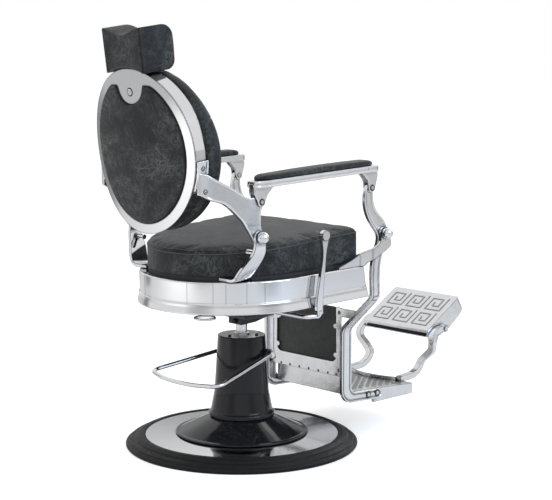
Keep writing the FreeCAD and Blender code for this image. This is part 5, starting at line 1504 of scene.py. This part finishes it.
def arm_pad(side, sign):
    """Pad along the armrest: its width and height follow its length, thickest in front."""
    share = (1 - np.cos(np.linspace(0, np.pi, 90))) / 2
    reach = np.minimum(share, 1 - share) / PAD_END_SHARE
    rounded = np.sqrt(np.clip(1 - (1 - np.minimum(reach, 1)) ** 2, 0.02, 1))
    width = PAD_HALF * rounded ** 0.8
    height = PAD_HEIGHT * (0.78 + 0.22 * np.sin(share * np.pi * 0.85)) * rounded
    angle = np.linspace(0, 2 * np.pi, 64, endpoint=False)
    across = np.sign(np.cos(angle)) * np.abs(np.cos(angle)) ** 0.45
    up = 0.5 + 0.5 * np.sign(np.sin(angle)) * np.abs(np.sin(angle)) ** 0.6
    line = ARM_REAR_TIP + share[:, None] * (ARM_FRONT_TIP - ARM_REAR_TIP)
    x = sign * (ARM_X + width[:, None] * across[None])
    y = np.repeat(line[:, :1], len(angle), axis=1)
    z = line[:, 1:] + PAD_LIFT + height[:, None] * up[None]
    grid = np.stack([x, y, z], axis=-1)
    if sign > 0:
        grid = grid[:, ::-1]
    return closed_grid("arm_pad_cover_" + side, grid)


class CHAIR_OT_arm_pads(bpy.types.Operator):
    """Slim padded tops of the armrests"""
    bl_idname = "chair.arm_pads"
    bl_label = "Arm pads"

    def execute(self, context):
        for side, sign in (("left", 1), ("right", -1)):
            pad = arm_pad(side, sign)
            finish_piece(pad, "arm_" + side, "leather", replaced=["arm_pad_" + side])
        return {"FINISHED"}


# Panel and registration

class CHAIR_PT_panel(bpy.types.Panel):
    """Lists the chair's pieces"""
    bl_idname = "CHAIR_PT_panel"
    bl_label = "Barber chair"
    bl_space_type = "VIEW_3D"
    bl_region_type = "UI"
    bl_category = "Chair"

    def draw(self, context):
        column = self.layout.column()
        for operator in OPERATORS:
            column.operator(operator.bl_idname)
        for group in (context.scene.chair_looks, context.scene.chair_upholstery, context.scene.chair_stage):
            for name in group.__annotations__:
                column.prop(group, name)


GROUPS = [ChairLooks, ChairStage, ChairUpholstery]
OPERATORS = [CHAIR_OT_stage, CHAIR_OT_metal, CHAIR_OT_castings, CHAIR_OT_screws, CHAIR_OT_apron_lines,
             CHAIR_OT_footrest_trim, CHAIR_OT_seat_cushion, CHAIR_OT_back_cushion, CHAIR_OT_back_panel,
             CHAIR_OT_headrest, CHAIR_OT_arm_pads]


def register():
    """Makes the settings, the operators and the panel known to Blender."""
    for item in GROUPS + OPERATORS + [CHAIR_PT_panel]:
        bpy.utils.register_class(item)
    bpy.types.Scene.chair_looks = bpy.props.PointerProperty(type=ChairLooks)
    bpy.types.Scene.chair_stage = bpy.props.PointerProperty(type=ChairStage)
    bpy.types.Scene.chair_upholstery = bpy.props.PointerProperty(type=ChairUpholstery)


def unregister():
    """Takes them away again."""
    del bpy.types.Scene.chair_looks
    del bpy.types.Scene.chair_stage
    del bpy.types.Scene.chair_upholstery
    for item in reversed(GROUPS + OPERATORS + [CHAIR_PT_panel]):
        bpy.utils.unregister_class(item)


def main():
    """Dresses the chair: makes the settings, operators and panel known, then runs each operator in turn."""
    register()
    for operator in OPERATORS:
        group, name = operator.bl_idname.split(".")
        getattr(getattr(bpy.ops, group), name)()


if __name__ == "__main__":
    main()
